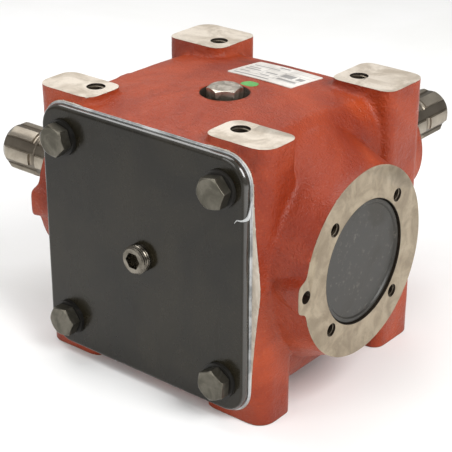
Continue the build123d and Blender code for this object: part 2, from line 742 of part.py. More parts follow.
def build_output_shaft():
    """Output shaft: spline, seal and bearing journals, gear seat and collar."""
    journal = output_journal / 2
    seat = output_seat / 2
    spline_start = output_end_x + spline_length
    neck = spline_major / 2
    run = left_face_x - neck_step
    left_shoulder = place["left_bearing"] + output_bearing_width
    right_shoulder = place["right_bearing"]
    tip = right_shoulder + output_bearing_width + end_chamfer
    collar_near = input_line_x - output_collar_at
    collar_far = collar_near - output_collar_length
    clip_near = input_line_x - crown_nose_at + end_gap
    clip_far = clip_near + shaft_clip_thickness
    groove = seat - shaft_clip_depth
    body = turned([(0, spline_start - end_chamfer), (neck - end_chamfer, spline_start - end_chamfer),
                   (neck, spline_start + end_chamfer), (neck, run - neck_step),
                   (journal - end_chamfer, run - end_chamfer), (journal, run),
                   (journal, left_shoulder), (seat, left_shoulder), (seat, collar_far),
                   (output_collar / 2, collar_far), (output_collar / 2, collar_near),
                   (seat, collar_near), (seat, clip_near), (groove, clip_near), (groove, clip_far),
                   (seat, clip_far), (seat, right_shoulder), (journal, right_shoulder),
                   (journal, tip - end_chamfer), (journal - end_chamfer, tip), (0, tip)], along_x)
    body = body + splined(along_x, output_end_x, spline_start)
    width, height, length = output_key
    slot = (width + 2 * seat_gap, height, length + 2 * seat_gap)
    return body - keyway(slot, seat, crown_key_at - seat_gap, length + 2 * seat_gap, crown_frame)


def build_input_shaft():
    """Input shaft: pinion seat, bearing and seal journals and spline."""
    journal = input_journal / 2
    spline_start = input_end_y - spline_length
    nose = output_line_y + input_nose_at
    clip_far = output_line_y + pinion_nose_at - end_gap
    clip_near = clip_far - shaft_clip_thickness
    outer_clip = place["outer_bearing"] + input_bearing_width + end_gap
    groove = journal - shaft_clip_depth
    body = turned([(0, nose), (journal - end_chamfer, nose), (journal, nose + end_chamfer),
                   (journal, clip_near), (groove, clip_near), (groove, clip_far),
                   (journal, clip_far), (journal, outer_clip), (groove, outer_clip),
                   (groove, outer_clip + shaft_clip_thickness),
                   (journal, outer_clip + shaft_clip_thickness),
                   (journal, spline_start - end_chamfer),
                   (spline_major / 2 - end_chamfer, spline_start + end_chamfer),
                   (0, spline_start + end_chamfer)], along_y)
    body = body + splined(along_y, input_end_y, spline_start)
    width, height, length = input_key
    slot = (width + 2 * seat_gap, height, length + 2 * seat_gap)
    return body - keyway(slot, journal, pinion_key_at - seat_gap, length + 2 * seat_gap,
                         pinion_frame)


# ---------------------------------------------------------------- taper roller bearings

class Bearing:
    """Taper roller bearing: its back face on the frame's plane, running along the normal."""

    def __init__(self, bore, outside, width, frame):
        self.bore = bore / 2
        self.outside = outside / 2
        self.width = width
        self.frame = frame
        section = self.outside - self.bore
        self.middle = (self.outside + self.bore) / 2
        self.roller = section * (1 - 2 * ring_share) / 2 - roller_gap
        self.length = width * roller_length_share

    def race(self, side, z):
        """Radius of the inner (-1) or outer (+1) race at a distance along the bearing."""
        slope = tan(radians(race_tilt + side * roller_taper))
        return self.middle + side * (self.roller + roller_gap) + (z - self.width / 2) * slope

    def inner_ring(self):
        """Cone ring with its two ribs."""
        w = self.width
        bore = self.bore + seat_gap
        near = w / 2 - self.length / 2 * cos(radians(race_tilt)) + roller_gap
        far = w / 2 + self.length / 2 * cos(radians(race_tilt)) + 2 * roller_gap
        far = far + self.roller * sin(radians(race_tilt))
        small_rib = self.race(-1, near) + small_rib_height
        big_rib = self.race(-1, far) + big_rib_height
        return turned([(bore, 0), (small_rib, 0), (small_rib, near), (self.race(-1, near), near),
                       (self.race(-1, far), far), (big_rib, far), (big_rib, w), (bore, w)],
                      self.frame)

    def outer_ring(self):
        """Cup."""
        w = self.width
        rim = self.outside - seat_gap
        return turned([(rim - end_chamfer, 0), (rim, end_chamfer), (rim, w - end_chamfer),
                       (rim - end_chamfer, w), (self.race(1, w), w), (self.race(1, 0), 0)],
                      self.frame)

    def roller_shape(self, gap=0.0):
        """One roller lying along its own axis, or the room it needs."""
        grow = self.length / 2 * tan(radians(roller_taper))
        return Cone(self.roller - grow + gap, self.roller + grow + gap, self.length + 2 * gap)

    def roller_places(self):
        """Where the rollers stand in the bearing."""
        for angle in on_circle(roller_count):
            yield Rot(0, 0, angle) * Pos(self.middle, 0, self.width / 2) * Rot(0, race_tilt, 0)

    def rollers(self):
        """All rollers, as separate solids."""
        return [self.frame.location * (spot * self.roller_shape()) for spot in self.roller_places()]

    def cage(self):
        """Conical sheet cage with a pocket for each roller."""
        reach = self.length / 2 + cage_gap + cage_rim
        across = cage_sheet / 2
        tilt = radians(race_tilt)
        corners = []
        for along, out in ((-reach, -across), (reach, -across), (reach, across), (-reach, across)):
            corners.append((self.middle + along * sin(tilt) + out * cos(tilt),
                            self.width / 2 + along * cos(tilt) - out * sin(tilt)))
        sheet = turned(corners, Plane.XY)
        room = self.roller_shape(cage_gap)
        for spot in self.roller_places():
            sheet = sheet - spot * room
        return self.frame.location * sheet


def facing_x(x, sign):
    """Frame on the output line, its normal along +X or -X."""
    return Plane(origin=(x, output_line_y, shaft_height), x_dir=(0, 1, 0), z_dir=(sign, 0, 0))


def facing_y(y, sign):
    """Frame on the input line, its normal along +Y or -Y."""
    return Plane(origin=(input_line_x, y, shaft_height), x_dir=(0, 0, 1), z_dir=(0, sign, 0))


bearings = {
    "output_left": Bearing(output_journal, output_bore, output_bearing_width,
                           facing_x(place["left_bearing"], 1)),
    "output_right": Bearing(output_journal, output_bore, output_bearing_width,
                            facing_x(place["right_bearing"] + output_bearing_width, -1)),
    "input_inner": Bearing(input_journal, input_bore, input_bearing_width,
                           facing_y(place["inner_bearing"] + input_bearing_width, -1)),
    "input_outer": Bearing(input_journal, input_bore, input_bearing_width,
                           facing_y(place["outer_bearing"], 1)),
}


# ---------------------------------------------------------------- seals, rings and cap

def build_seal(bore, shaft, frame):
    """Shaft seal: a cup-shaped case, its web outward, and a lip that runs on the shaft."""
    rim = bore / 2 - seat_gap
    lip = shaft / 2 + running_gap
    return turned([(rim, 0), (rim, seal_width), (rim - seal_case, seal_width),
                   (rim - seal_case, seal_case), (lip + seal_lip_thick, seal_case),
                   (lip + seal_lip_thick, seal_lip_end), (lip, seal_lip_at),
                   (lip + seal_lip_rise, seal_lip_at - seal_lip_width),
                   (lip + seal_lip_thick / 2, 0)], frame)


def build_housing_clip(bore, start, frame):
    """Internal retaining ring in its groove, with two eyes at the gap."""
    outer = bore / 2 + clip_depth - end_gap
    inner = bore / 2 - clip_inside
    ring = Circle(outer) - Circle(inner)
    half = radians(clip_gap_angle / 2)
    wedge = Polyline((0, 0), (2 * outer * cos(half), -2 * outer * sin(half)),
                     (2 * outer * cos(half), 2 * outer * sin(half)), close=True)
    ring = ring - make_face(wedge)
    for sign in (-1, 1):
        turn = sign * (clip_gap_angle / 2 + clip_eye_turn)
        eye = Rot(0, 0, turn) * Pos(inner - clip_eye_in, 0)
        ring = ring + eye * Circle(clip_eye) - eye * Circle(clip_eye_hole)
    return frame.location * Pos(0, 0, start) * extrude(ring, clip_thickness - end_gap)


def build_shaft_clip(shaft, start, frame):
    """External retaining ring on a shaft, open on one side."""
    inner = shaft / 2 - shaft_clip_depth + end_gap
    outer = shaft / 2 + shaft_clip_outside
    ring = Circle(outer) - Circle(inner)
    half = radians(clip_gap_angle / 2)
    wedge = Polyline((0, 0), (2 * outer * cos(half), -2 * outer * sin(half)),
                     (2 * outer * cos(half), 2 * outer * sin(half)), close=True)
    ring = ring - make_face(wedge)
    return frame.location * Pos(0, 0, start) * extrude(ring, shaft_clip_thickness - end_gap)


def build_end_cap():
    """Blanking cap pressed into the right-hand bore: a rubber-covered cup with a dished face."""
    rim = output_bore / 2 - seat_gap
    top = right_face_x - cap_recess
    start = top - cap_thickness
    inside = rim - cap_rim
    return turned([(inside, start), (rim - end_chamfer, start), (rim, start + end_chamfer),
                   (rim, top - end_chamfer), (rim - end_chamfer, top), (inside, top),
                   (inside - cap_dish, top - cap_dish), (0, top - cap_dish),
                   (0, top - cap_dish - cap_sheet), (inside, top - cap_dish - cap_sheet)],
                  along_x)


def build_spacer():
    """Tube between the inner rings of the two input bearings."""
    inner = input_journal / 2 + seat_gap
    start = place["inner_bearing"] + input_bearing_width
    return tube(inner + spacer_wall, inner, start, place["outer_bearing"], along_y)


# ---------------------------------------------------------------- all nodes

def build_nodes():
    """Every node by name, each with one solid or a group of like solids."""
    nodes = {
        "housing": build_housing(),
        "front_cover": build_cover(),
        "cover_sealant": build_sealant(),
        "cover_bolts": build_cover_bolts(),
        "cover_washers": build_cover_washers(),
        "level_plug": build_level_plug(),
        "level_plug_nut": build_level_nut(),
        "filler_plug": build_filler_plug(),
        "filler_washer": build_filler_washer(),
        "rating_plate": build_rating_plate(),
        "end_cap": build_end_cap(),
        "output_shaft": build_output_shaft(),
        "input_shaft": build_input_shaft(),
        "crown_gear": build_crown(),
        "bevel_pinion": build_pinion(),
        "crown_key": build_key(output_key, output_seat / 2, crown_key_at, crown_frame),
        "pinion_key": build_key(input_key, input_journal / 2, pinion_key_at, pinion_frame),
        "input_spacer": build_spacer(),
        "output_seal": build_seal(output_bore, output_journal, facing_x(place["left_seal"], 1)),
        "input_seal": build_seal(input_bore, input_journal,
                                 facing_y(place["input_seal"] + seal_width, -1)),
        "right_bearing_clip": build_housing_clip(output_bore, place["right_clip"], along_x),
        "left_bearing_clip": build_housing_clip(output_bore, place["left_clip"], along_x),
        "input_bearing_clip": build_housing_clip(input_bore, place["input_clip"], along_y),
        "crown_clip": build_shaft_clip(output_seat, input_line_x - crown_nose_at + 1.5 * end_gap,
                                       along_x),
        "pinion_clip": build_shaft_clip(
            input_journal, output_line_y + pinion_nose_at - shaft_clip_thickness - end_gap / 2,
            along_y),
        "input_shaft_clip": build_shaft_clip(
            input_journal, place["outer_bearing"] + input_bearing_width + 1.5 * end_gap, along_y),
    }
    for name, bearing in bearings.items():
        nodes[name + "_inner_ring"] = bearing.inner_ring()
        nodes[name + "_outer_ring"] = bearing.outer_ring()
        nodes[name + "_rollers"] = bearing.rollers()
        nodes[name + "_cage"] = bearing.cage()
    return nodes


def write_nodes():
    """One STEP file for each node."""
    os.makedirs("parts", exist_ok=True)
    for name, shape in build_nodes().items():
        group = shape if isinstance(shape, list) else [shape]
        solids = [solid for piece in group for solid in piece.solids()]
        export_step(solids[0] if len(solids) == 1 else Compound(children=solids),
                    "parts/" + name + ".step")


if __name__ == "__main__":
    write_nodes()
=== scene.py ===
"""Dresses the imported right-angle bevel gearbox: finishes, threads, screws, sealant, label and studio."""
import logging
import math
from dataclasses import dataclass
from enum import Enum
from typing import Callable, Sequence

import bmesh
import bpy
from mathutils import Matrix, Vector, noise


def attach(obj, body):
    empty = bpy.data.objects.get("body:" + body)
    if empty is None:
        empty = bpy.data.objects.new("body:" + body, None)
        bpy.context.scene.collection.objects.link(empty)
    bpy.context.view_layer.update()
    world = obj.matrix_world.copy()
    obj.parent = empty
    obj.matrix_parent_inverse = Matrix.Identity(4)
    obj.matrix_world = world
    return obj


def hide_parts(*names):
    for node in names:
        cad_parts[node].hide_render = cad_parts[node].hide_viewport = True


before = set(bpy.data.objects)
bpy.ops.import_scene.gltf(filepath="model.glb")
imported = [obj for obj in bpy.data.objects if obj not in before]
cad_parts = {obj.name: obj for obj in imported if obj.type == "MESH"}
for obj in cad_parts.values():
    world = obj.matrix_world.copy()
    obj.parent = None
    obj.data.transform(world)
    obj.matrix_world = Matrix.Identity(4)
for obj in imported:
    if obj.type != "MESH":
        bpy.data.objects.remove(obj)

LOG = logging.getLogger("gearbox")
MM = 0.001
FLOAT, COLOUR, VECTOR = "NodeSocketFloat", "NodeSocketColor", "NodeSocketVector"

Colour = tuple[float, float, float]
Point = tuple[float, float, float]
Pair = tuple[float, float]
Socket = bpy.types.NodeSocket
Node = bpy.types.Node
Piece = bpy.types.Object
Material = bpy.types.Material
Body = bmesh.types.BMesh


def paint(red: int, green: int, blue: int) -> Colour:
    """Linear colour of a paint that is written in the usual 0 to 255 steps."""
    steps = [c / 255 for c in (red, green, blue)]
    return tuple(c / 12.92 if c <= 0.04045 else ((c + 0.055) / 1.055) ** 2.4 for c in steps)


@dataclass(frozen=True)
class Gearcase:
    """Machined planes, shaft lines and hole patterns of the housing."""

    pad_top: float = 183.0 * MM
    right: float = 117.5 * MM
    left: float = -101.5 * MM
    front: float = -81.5 * MM
    neck_end: float = 156.0 * MM
    line: Point = (8.0 * MM, -14.0 * MM, 97.5 * MM)
    pads: Pair = (58.0 * MM, 61.0 * MM)
    flange_reach: float = 46.7 * MM
    ear_drop: float = 60.0 * MM
    crown_top: float = 181.4 * MM
    crown_radius: float = 650.0 * MM

    def sides(self) -> tuple[Pair, Pair]:
        """Each flange's plane, with the way that it faces along X."""
        return (self.right, 1.0), (self.left, -1.0)

    def flange_holes(self, inset: float) -> list[tuple[Point, float]]:
        """Axis points of the flange holes, at a depth behind the face, each with the face's way."""
        _, y, z = self.line
        found = []
        for face, way in self.sides():
            for quarter in range(4):
                angle = math.pi / 4 + quarter * math.pi / 2
                found.append(((face - way * inset, y + self.flange_reach * math.cos(angle),
                               z + self.flange_reach * math.sin(angle)), way))
        return found


CASE = Gearcase()


# ---------------------------------------------------------------- node writing

class Kit:
    """Writes the nodes of one tree."""

    def __init__(self, tree: bpy.types.NodeTree) -> None:
        """Keeps the tree that the nodes go into."""
        self.tree = tree

    def add(self, kind: str, feeds: dict[object, object] | None = None, **settings: object) -> Node:
        """Adds a node.

        Args:
            kind: the node's Blender type.
            feeds: what goes into its inputs, by name or number.
            settings: properties set on the node.

        Returns:
            The new node.
        """
        made = self.tree.nodes.new(kind)
        for name, value in settings.items():
            setattr(made, name, value)
        for socket, value in (feeds or {}).items():
            self.feed(made, socket, value)
        return made

    def feed(self, node: Node, socket: object, value: object) -> None:
        """Sets an input to a value, or links it when the value is another node's socket."""
        target = node.inputs[socket]
        if isinstance(value, Socket):
            self.tree.links.new(value, target)
        elif isinstance(value, tuple) and target.type == "RGBA":
            target.default_value = (*value[:3], 1.0)
        else:
            target.default_value = value

    def calc(self, operation: str, a: object, b: object = 0.0) -> Socket:
        """Result of one Math node."""
        return self.add("ShaderNodeMath", {0: a, 1: b}, operation=operation).outputs[0]

    def plus(self, a: object, b: object) -> Socket:
        """The sum of two values."""
        return self.calc("ADD", a, b)

    def less(self, a: object, b: object) -> Socket:
        """The first value less the second."""
        return self.calc("SUBTRACT", a, b)

    def times(self, a: object, b: object) -> Socket:
        """The product of two values."""
        return self.calc("MULTIPLY", a, b)

    def highest(self, *values: object) -> Socket:
        """The largest of several values."""
        top = values[0]
        for other in values[1:]:
            top = self.calc("MAXIMUM", top, other)
        return top

    def apart(self, value: object, middle: float) -> Socket:
        """How far a value is from a middle, without its sign."""
        return self.calc("ABSOLUTE", self.less(value, middle))

    def reach(self, u: object, v: object) -> Socket:
        """Distance from the origin of a plane."""
        return self.calc("SQRT", self.plus(self.times(u, u), self.times(v, v)))

    def ramp(self, value: object, low: object, high: object, to_low: float = 0.0,
             to_high: float = 1.0) -> Socket:
        """Smooth step of a value between two limits.

        Args:
            value: what is read.
            low: where the step starts.
            high: where it ends.
            to_low: result before the step.
            to_high: result after it.

        Returns:
            The result's socket.
        """
        feeds = dict(enumerate((value, low, high, to_low, to_high)))
        return self.add("ShaderNodeMapRange", feeds, interpolation_type="SMOOTHSTEP",
                        clamp=True).outputs[0]

    def mix(self, share: object, a: object, b: object) -> Socket:
        """Mixes two values by a share."""
        return self.add("ShaderNodeMix", {0: share, 2: a, 3: b}, data_type="FLOAT").outputs[0]

    def blend(self, share: object, a: object, b: object) -> Socket:
        """Mixes two colours by a share."""
        return self.add("ShaderNodeMix", {0: share, 6: a, 7: b}, data_type="RGBA").outputs[2]

    def grain(self, place: object, scale: object, detail: float = 3.0, rough: float = 0.55,
              twist: float = 0.0) -> Socket:
        """Noise value, around a half.

        Args:
            place: coordinates.
            scale: features per metre, roughly.
            detail: octaves.
            rough: how strong the finer octaves are.
            twist: distortion.

        Returns:
            The value's socket.
        """
        feeds = {"Vector": place, "Scale": scale, "Detail": detail, "Roughness": rough,
                 "Distortion": twist}
        return self.add("ShaderNodeTexNoise", feeds).outputs["Fac"]

    def place(self, scale: Point | None = None) -> Socket:
        """Object coordinates, stretched by a scale on each axis if one is given."""
        coords = self.add("ShaderNodeTexCoord").outputs["Object"]
        if scale is None:
            return coords
        return self.add("ShaderNodeMapping", {"Vector": coords, "Scale": scale}).outputs["Vector"]

    def split(self, vector: object) -> tuple[Socket, Socket, Socket]:
        """The three parts of a vector."""
        node = self.add("ShaderNodeSeparateXYZ", {0: vector})
        return node.outputs[0], node.outputs[1], node.outputs[2]

    def bump(self, height: object, depth: float, strength: float = 1.0,
             under: Socket | None = None) -> Socket:
        """Normal raised by a height.

        Args:
            height: the height, 0 to 1.
            depth: metres that a height of 1 stands for.
            strength: share of the effect.
            under: an earlier bump's normal.

        Returns:
            The normal's socket.
        """
        feeds = {"Height": height, "Distance": depth, "Strength": strength}
        if under is not None:
            feeds["Normal"] = under
        return self.add("ShaderNodeBump", feeds).outputs[0]


def group(name: str, takes: Sequence[tuple[str, str, object]], gives: Sequence[tuple[str, str]],
          write: Callable[[Kit, Node, Node], None]) -> bpy.types.NodeTree:
    """Builds a shader node group.

    Args:
        name: the group's name.
        takes: (name, socket type, default) of each input.
        gives: (name, socket type) of each output.
        write: writes the nodes between the group's input and output nodes.

    Returns:
        The group's tree.
    """
    tree = bpy.data.node_groups.new(name, "ShaderNodeTree")
    for title, kind, start in takes:
        socket = tree.interface.new_socket(title, in_out="INPUT", socket_type=kind)
        if start is not None:
            socket.default_value = (*start, 1.0) if kind == COLOUR else start
    for title, kind in gives:
        tree.interface.new_socket(title, in_out="OUTPUT", socket_type=kind)
    write(Kit(tree), tree.nodes.new("NodeGroupInput"), tree.nodes.new("NodeGroupOutput"))
    return tree


def write_stain(kit: Kit, start: Node, end: Node) -> None:
    """Uneven tone: a colour drifts between two others in large soft patches and fine specks."""
    given = start.outputs
    broad = kit.grain(given["Place"], given["Patch"], detail=4.0, rough=0.6, twist=0.6)
    fine = kit.grain(given["Place"], given["Speck"], detail=3.0, rough=0.65)
    drift = kit.ramp(broad, 0.34, 0.68)
    colour = kit.blend(drift, given["Dark"], given["Light"])
    share = kit.times(kit.ramp(fine, 0.55, 0.78), given["Speck Strength"])
    kit.feed(end, "Colour", kit.blend(share, colour, given["Speck Colour"]))
    kit.feed(end, "Drift", drift)


def write_machining(kit: Kit, start: Node, end: Node) -> None:
    """Fine tool marks in rings round an axis line, as a height."""
    given = start.outputs
    wander = kit.times(kit.grain(given["Place"], 60.0, detail=2.0), 1.6 * MM)
    wave = kit.calc("SINE", kit.times(kit.plus(given["Reach"], wander), given["Turns"]))
    fine = kit.grain(given["Place"], 1500.0, detail=2.0)
    kit.feed(end, "Height", kit.plus(kit.times(wave, 0.35), fine))


STAIN = group("stain", (("Place", VECTOR, None), ("Dark", COLOUR, (0.1, 0.1, 0.1)),
                        ("Light", COLOUR, (0.2, 0.2, 0.2)), ("Patch", FLOAT, 20.0),
                        ("Speck", FLOAT, 400.0), ("Speck Strength", FLOAT, 0.2),
                        ("Speck Colour", COLOUR, (0.05, 0.05, 0.05))),
              (("Colour", COLOUR), ("Drift", FLOAT)), write_stain)
MACHINING = group("machining", (("Place", VECTOR, None), ("Reach", FLOAT, 0.0),
                                ("Turns", FLOAT, 9000.0)), (("Height", FLOAT),), write_machining)


def surface(name: str) -> tuple[Material, Kit, Node]:
    """A new material with one Principled shader.

    Args:
        name: the material's name.

    Returns:
        The material, its kit and the shader node.
    """
    material = bpy.data.materials.new(name)
    material.use_nodes = True
    material.node_tree.nodes.clear()
    kit = Kit(material.node_tree)
    shader = kit.add("ShaderNodeBsdfPrincipled")
    kit.add("ShaderNodeOutputMaterial", {"Surface": shader.outputs[0]})
    return material, kit, shader


# ---------------------------------------------------------------- finishes

@dataclass(frozen=True)
class Tone:
    """Two colours that drift into each other in patches, with fine specks of a third."""

    dark: Colour
    light: Colour
    patch: float = 30.0
    speck: float = 500.0
    strength: float = 0.3
    speck_colour: Colour = (0.03, 0.025, 0.02)

    def lay(self, kit: Kit, place: Socket) -> tuple[Socket, Socket]:
        """Places the stain group with this tone.

        Args:
            kit: the material's kit.
            place: object coordinates.

        Returns:
            The colour, and the drift from dark to light.
        """
        feeds = {"Place": place, "Dark": self.dark, "Light": self.light, "Patch": self.patch,
                 "Speck": self.speck, "Speck Strength": self.strength,
                 "Speck Colour": self.speck_colour}
        node = kit.add("ShaderNodeGroup", node_tree=STAIN)
        for name, value in feeds.items():
            kit.feed(node, name, value)
        return node.outputs["Colour"], node.outputs["Drift"]


@dataclass(frozen=True)
class Patches:
    """Noise of a scale and detail, taken from one result to another between two levels."""

    scale: float
    detail: float
    levels: Pair
    result: Pair = (0.0, 1.0)
    rough: float = 0.55
    twist: float = 0.0

    def lay(self, kit: Kit, place: Socket) -> Socket:
        """The value at a place."""
        grain = kit.grain(place, self.scale, self.detail, self.rough, self.twist)
        return kit.ramp(grain, *self.levels, *self.result)


@dataclass(frozen=True)
class CastingFinish:
    """Red primer on rough cast iron, with its machined faces and bores left bare."""

    pad_hole: float = 6.05 * MM
    flange_hole: float = 4.3 * MM
    flange_hole_at: float = 33.02 * MM
    ear_hole: float = 4.05 * MM
    ear_bottom: Pair = (103.6 * MM, 103.8 * MM)
    output_bore: float = 40.2 * MM
    input_bore: float = 36.2 * MM
    recess: float = 16.3 * MM
    recess_heights: tuple[float, ...] = (173.0 * MM, 173.1 * MM, 180.8 * MM, 181.3 * MM)
    front_reach: Pair = (89.9 * MM, 90.0 * MM)
    edge: float = 0.05 * MM
    face_edge: float = 0.06 * MM
    face_slack: float = 0.12 * MM
    worn_slack: float = 0.7 * MM
    primer: Tone = Tone(paint(122, 38, 13), paint(160, 63, 27), 11.0, 420.0, 0.38, paint(96, 31, 14))
    pad: Tone = Tone(paint(176, 164, 148), paint(222, 212, 198), 52.0, 520.0, 0.34, paint(126, 112, 92))
    ring: Tone = Tone(paint(132, 119, 100), paint(162, 149, 128), 70.0, 640.0, 0.30, paint(102, 90, 72))
    worn: Patches = Patches(420.0, 4.0, (0.56, 0.74), rough=0.7)
    dirt: Patches = Patches(28.0, 5.0, (0.56, 0.76), (0.0, 0.45), 0.62, 0.8)
    rubbed: Patches = Patches(620.0, 3.0, (0.60, 0.80), (0.0, 0.40), 0.6)
    chip_areas: Patches = Patches(19.0, 2.0, (0.54, 0.64))
    chips: Patches = Patches(190.0, 4.0, (0.70, 0.725), rough=0.72)
    sheen: Patches = Patches(48.0, 4.0, (0.3, 0.7), (0.30, 0.48))
    iron_rough: Pair = (0.52, 0.44)
    soot: Colour = paint(76, 27, 15)
    pale: Colour = paint(190, 104, 66)
    chipped: Colour = paint(168, 146, 122)
    # oiled bare metal, darkened also as painted shade inside holes, bores and the filler recess
    oil_and_shade: Colour = paint(58, 50, 42)

    def hole(self, kit: Kit, u: object, v: object, radius: float) -> Socket:
        """1 inside a round hole of that radius, 0 outside it."""
        return kit.ramp(kit.reach(u, v), radius, radius + self.edge, 1.0, 0.0)

    def bored(self, kit: Kit, place: Socket) -> Socket:
        """1 in every hole and bore, where the bare metal is oiled and painted dark, partly as painted
        shade inside the holes.
        """
        x, y, z = kit.split(place)
        line_x, line_y, line_z = CASE.line
        across, above, beside = kit.less(y, line_y), kit.less(z, line_z), kit.less(x, line_x)
        pads = self.hole(kit, kit.less(kit.calc("ABSOLUTE", x), CASE.pads[0]),
                         kit.less(kit.calc("ABSOLUTE", y), CASE.pads[1]), self.pad_hole)
        flange = self.hole(kit, kit.less(kit.calc("ABSOLUTE", across), self.flange_hole_at),
                           kit.less(kit.calc("ABSOLUTE", above), self.flange_hole_at), self.flange_hole)
        ear = kit.times(self.hole(kit, kit.plus(across, CASE.ear_drop), above, self.ear_hole),
                        kit.ramp(kit.apart(x, line_x), *self.ear_bottom))
        output = self.hole(kit, across, above, self.output_bore)
        inlet = kit.times(self.hole(kit, beside, above, self.input_bore), kit.ramp(y, 0.0, 1.0 * MM))
        floor, above_floor, below_rim, rim = self.recess_heights
        recess = kit.times(self.hole(kit, beside, across, self.recess), kit.ramp(z, floor, above_floor))
        recess = kit.times(recess, kit.ramp(z, below_rim, rim, 1.0, 0.0))
        return kit.highest(pads, flange, ear, output, inlet, recess)

    def faced(self, kit: Kit, place: Socket) -> tuple[Socket, Socket]:
        """Masks of the faces that were machined after painting.

        Args:
            kit: the material's kit.
            place: object coordinates.

        Returns:
            1 on every machined face, and 1 on the turned faces of the flanges and the neck alone.
        """
        x, y, z = kit.split(place)
        worn = self.worn.lay(kit, place)
        slack = kit.plus(kit.times(worn, self.worn_slack), self.face_slack)
        pads = kit.highest(kit.less(z, CASE.pad_top), kit.times(z, -1.0))
        turned = kit.highest(kit.less(x, CASE.right), kit.less(CASE.left, x), kit.less(y, CASE.neck_end))
        flat, ring, front = (kit.ramp(kit.plus(past, slack), 0.0, self.face_edge)
                             for past in (pads, turned, kit.less(CASE.front, y)))
        inside = kit.ramp(kit.calc("ABSOLUTE", x), *self.front_reach, 1.0, 0.0)
        return kit.highest(flat, ring, kit.times(front, inside)), ring

    def coat(self, kit: Kit, place: Socket) -> Socket:
        """Colour of the red primer, with soot in noise patches, rubbed grain and a few chips."""
        colour, _ = self.primer.lay(kit, place)
        for patches, over in ((self.dirt, self.soot), (self.rubbed, self.pale)):
            colour = kit.blend(patches.lay(kit, place), colour, over)
        chips = kit.times(self.chips.lay(kit, place), self.chip_areas.lay(kit, place))
        return kit.blend(chips, colour, self.chipped)

    def relief(self, kit: Kit, place: Socket, bare: Socket) -> Socket:
        """Normal of the rough cast skin, and of the tool marks where the metal is bare."""
        _, y, z = kit.split(place)
        cast = kit.less(1.0, bare)
        waves = kit.times(kit.grain(place, 42.0, detail=2.0), cast)
        swell = kit.bump(waves, depth=1.2 * MM, strength=0.7)
        lumps = kit.plus(kit.grain(place, 260.0, detail=4.0, rough=0.62),
                         kit.times(kit.grain(place, 850.0, detail=2.0), 0.6))
        skin = kit.bump(kit.times(lumps, cast), depth=1.0 * MM, strength=0.9, under=swell)
        marks = kit.add("ShaderNodeGroup", node_tree=MACHINING)
        spread = kit.reach(kit.less(y, CASE.line[1]), kit.less(z, CASE.line[2]))
        for name, value in (("Place", place), ("Reach", spread), ("Turns", 7000.0)):
            kit.feed(marks, name, value)
        cut = kit.times(marks.outputs["Height"], bare)
        return kit.bump(cut, depth=0.03 * MM, strength=0.8, under=skin)

    def build(self) -> Material:
        """Writes the material."""
        material, kit, shader = surface("red_casting")
        place = kit.place()
        bare, ring = self.faced(kit, place)
        bored = self.bored(kit, place)
        pad_colour, pad_drift = self.pad.lay(kit, place)
        iron = kit.blend(ring, pad_colour, self.ring.lay(kit, place)[0])
        colour = kit.blend(bare, self.coat(kit, place), iron)
        # painted shade with oil: holes and bores take one dark colour for oil and for their shade
        kit.feed(shader, "Base Color", kit.blend(bored, colour, self.oil_and_shade))
        kit.feed(shader, "Metallic", kit.highest(kit.times(bare, 0.55), kit.times(bored, 0.7)))
        iron_sheen = kit.ramp(pad_drift, 0.0, 1.0, *self.iron_rough)
        kit.feed(shader, "Roughness", kit.mix(bare, self.sheen.lay(kit, place), iron_sheen))
        kit.feed(shader, "Specular IOR Level", 0.34)
        kit.feed(shader, "Normal", self.relief(kit, place, bare))
        return material


@dataclass(frozen=True)
class SteelFinish:
    """Bare or oiled steel, with fine marks along or round an axis."""

    name: str
    tone: Tone
    rough: Pair = (0.28, 0.44)
    stretch: Point = (1.0, 1.0, 1.0)
    depth: float = 0.05 * MM
    metallic: float = 1.0
    line: tuple[int, float] | None = None
    root: Pair = (14.9 * MM, 15.9 * MM)
    root_shade_share: float = 0.7
    # painted shade colour for the roots of the spline grooves
    root_shade_colour: Colour = paint(78, 70, 60)

    def shade_roots(self, kit: Kit, place: Socket, colour: Socket) -> Socket:
        """Paints shade on a splined shaft close to its line, darkest at the roots of the grooves."""
        if self.line is None:
            return colour
        parts = kit.split(place)
        axis, beside = self.line
        reach = kit.reach(kit.less(parts[axis], beside), kit.less(parts[2], CASE.line[2]))
        # painted shade: the steel colour is darkened towards the spline roots
        return kit.blend(kit.ramp(reach, *self.root, self.root_shade_share, 0.0), colour, self.root_shade_colour)

    def build(self) -> Material:
        """Writes the material."""
        material, kit, shader = surface(self.name)
        place = kit.place()
        colour, _ = self.tone.lay(kit, place)
        kit.feed(shader, "Base Color", self.shade_roots(kit, place, colour))
        kit.feed(shader, "Metallic", self.metallic)
        fine = kit.grain(kit.place(self.stretch), self.tone.speck * 1.6, detail=4.0, rough=0.6)
        kit.feed(shader, "Roughness", kit.ramp(fine, 0.3, 0.7, *self.rough))
        kit.feed(shader, "Normal", kit.bump(fine, self.depth, strength=0.6))
        return material


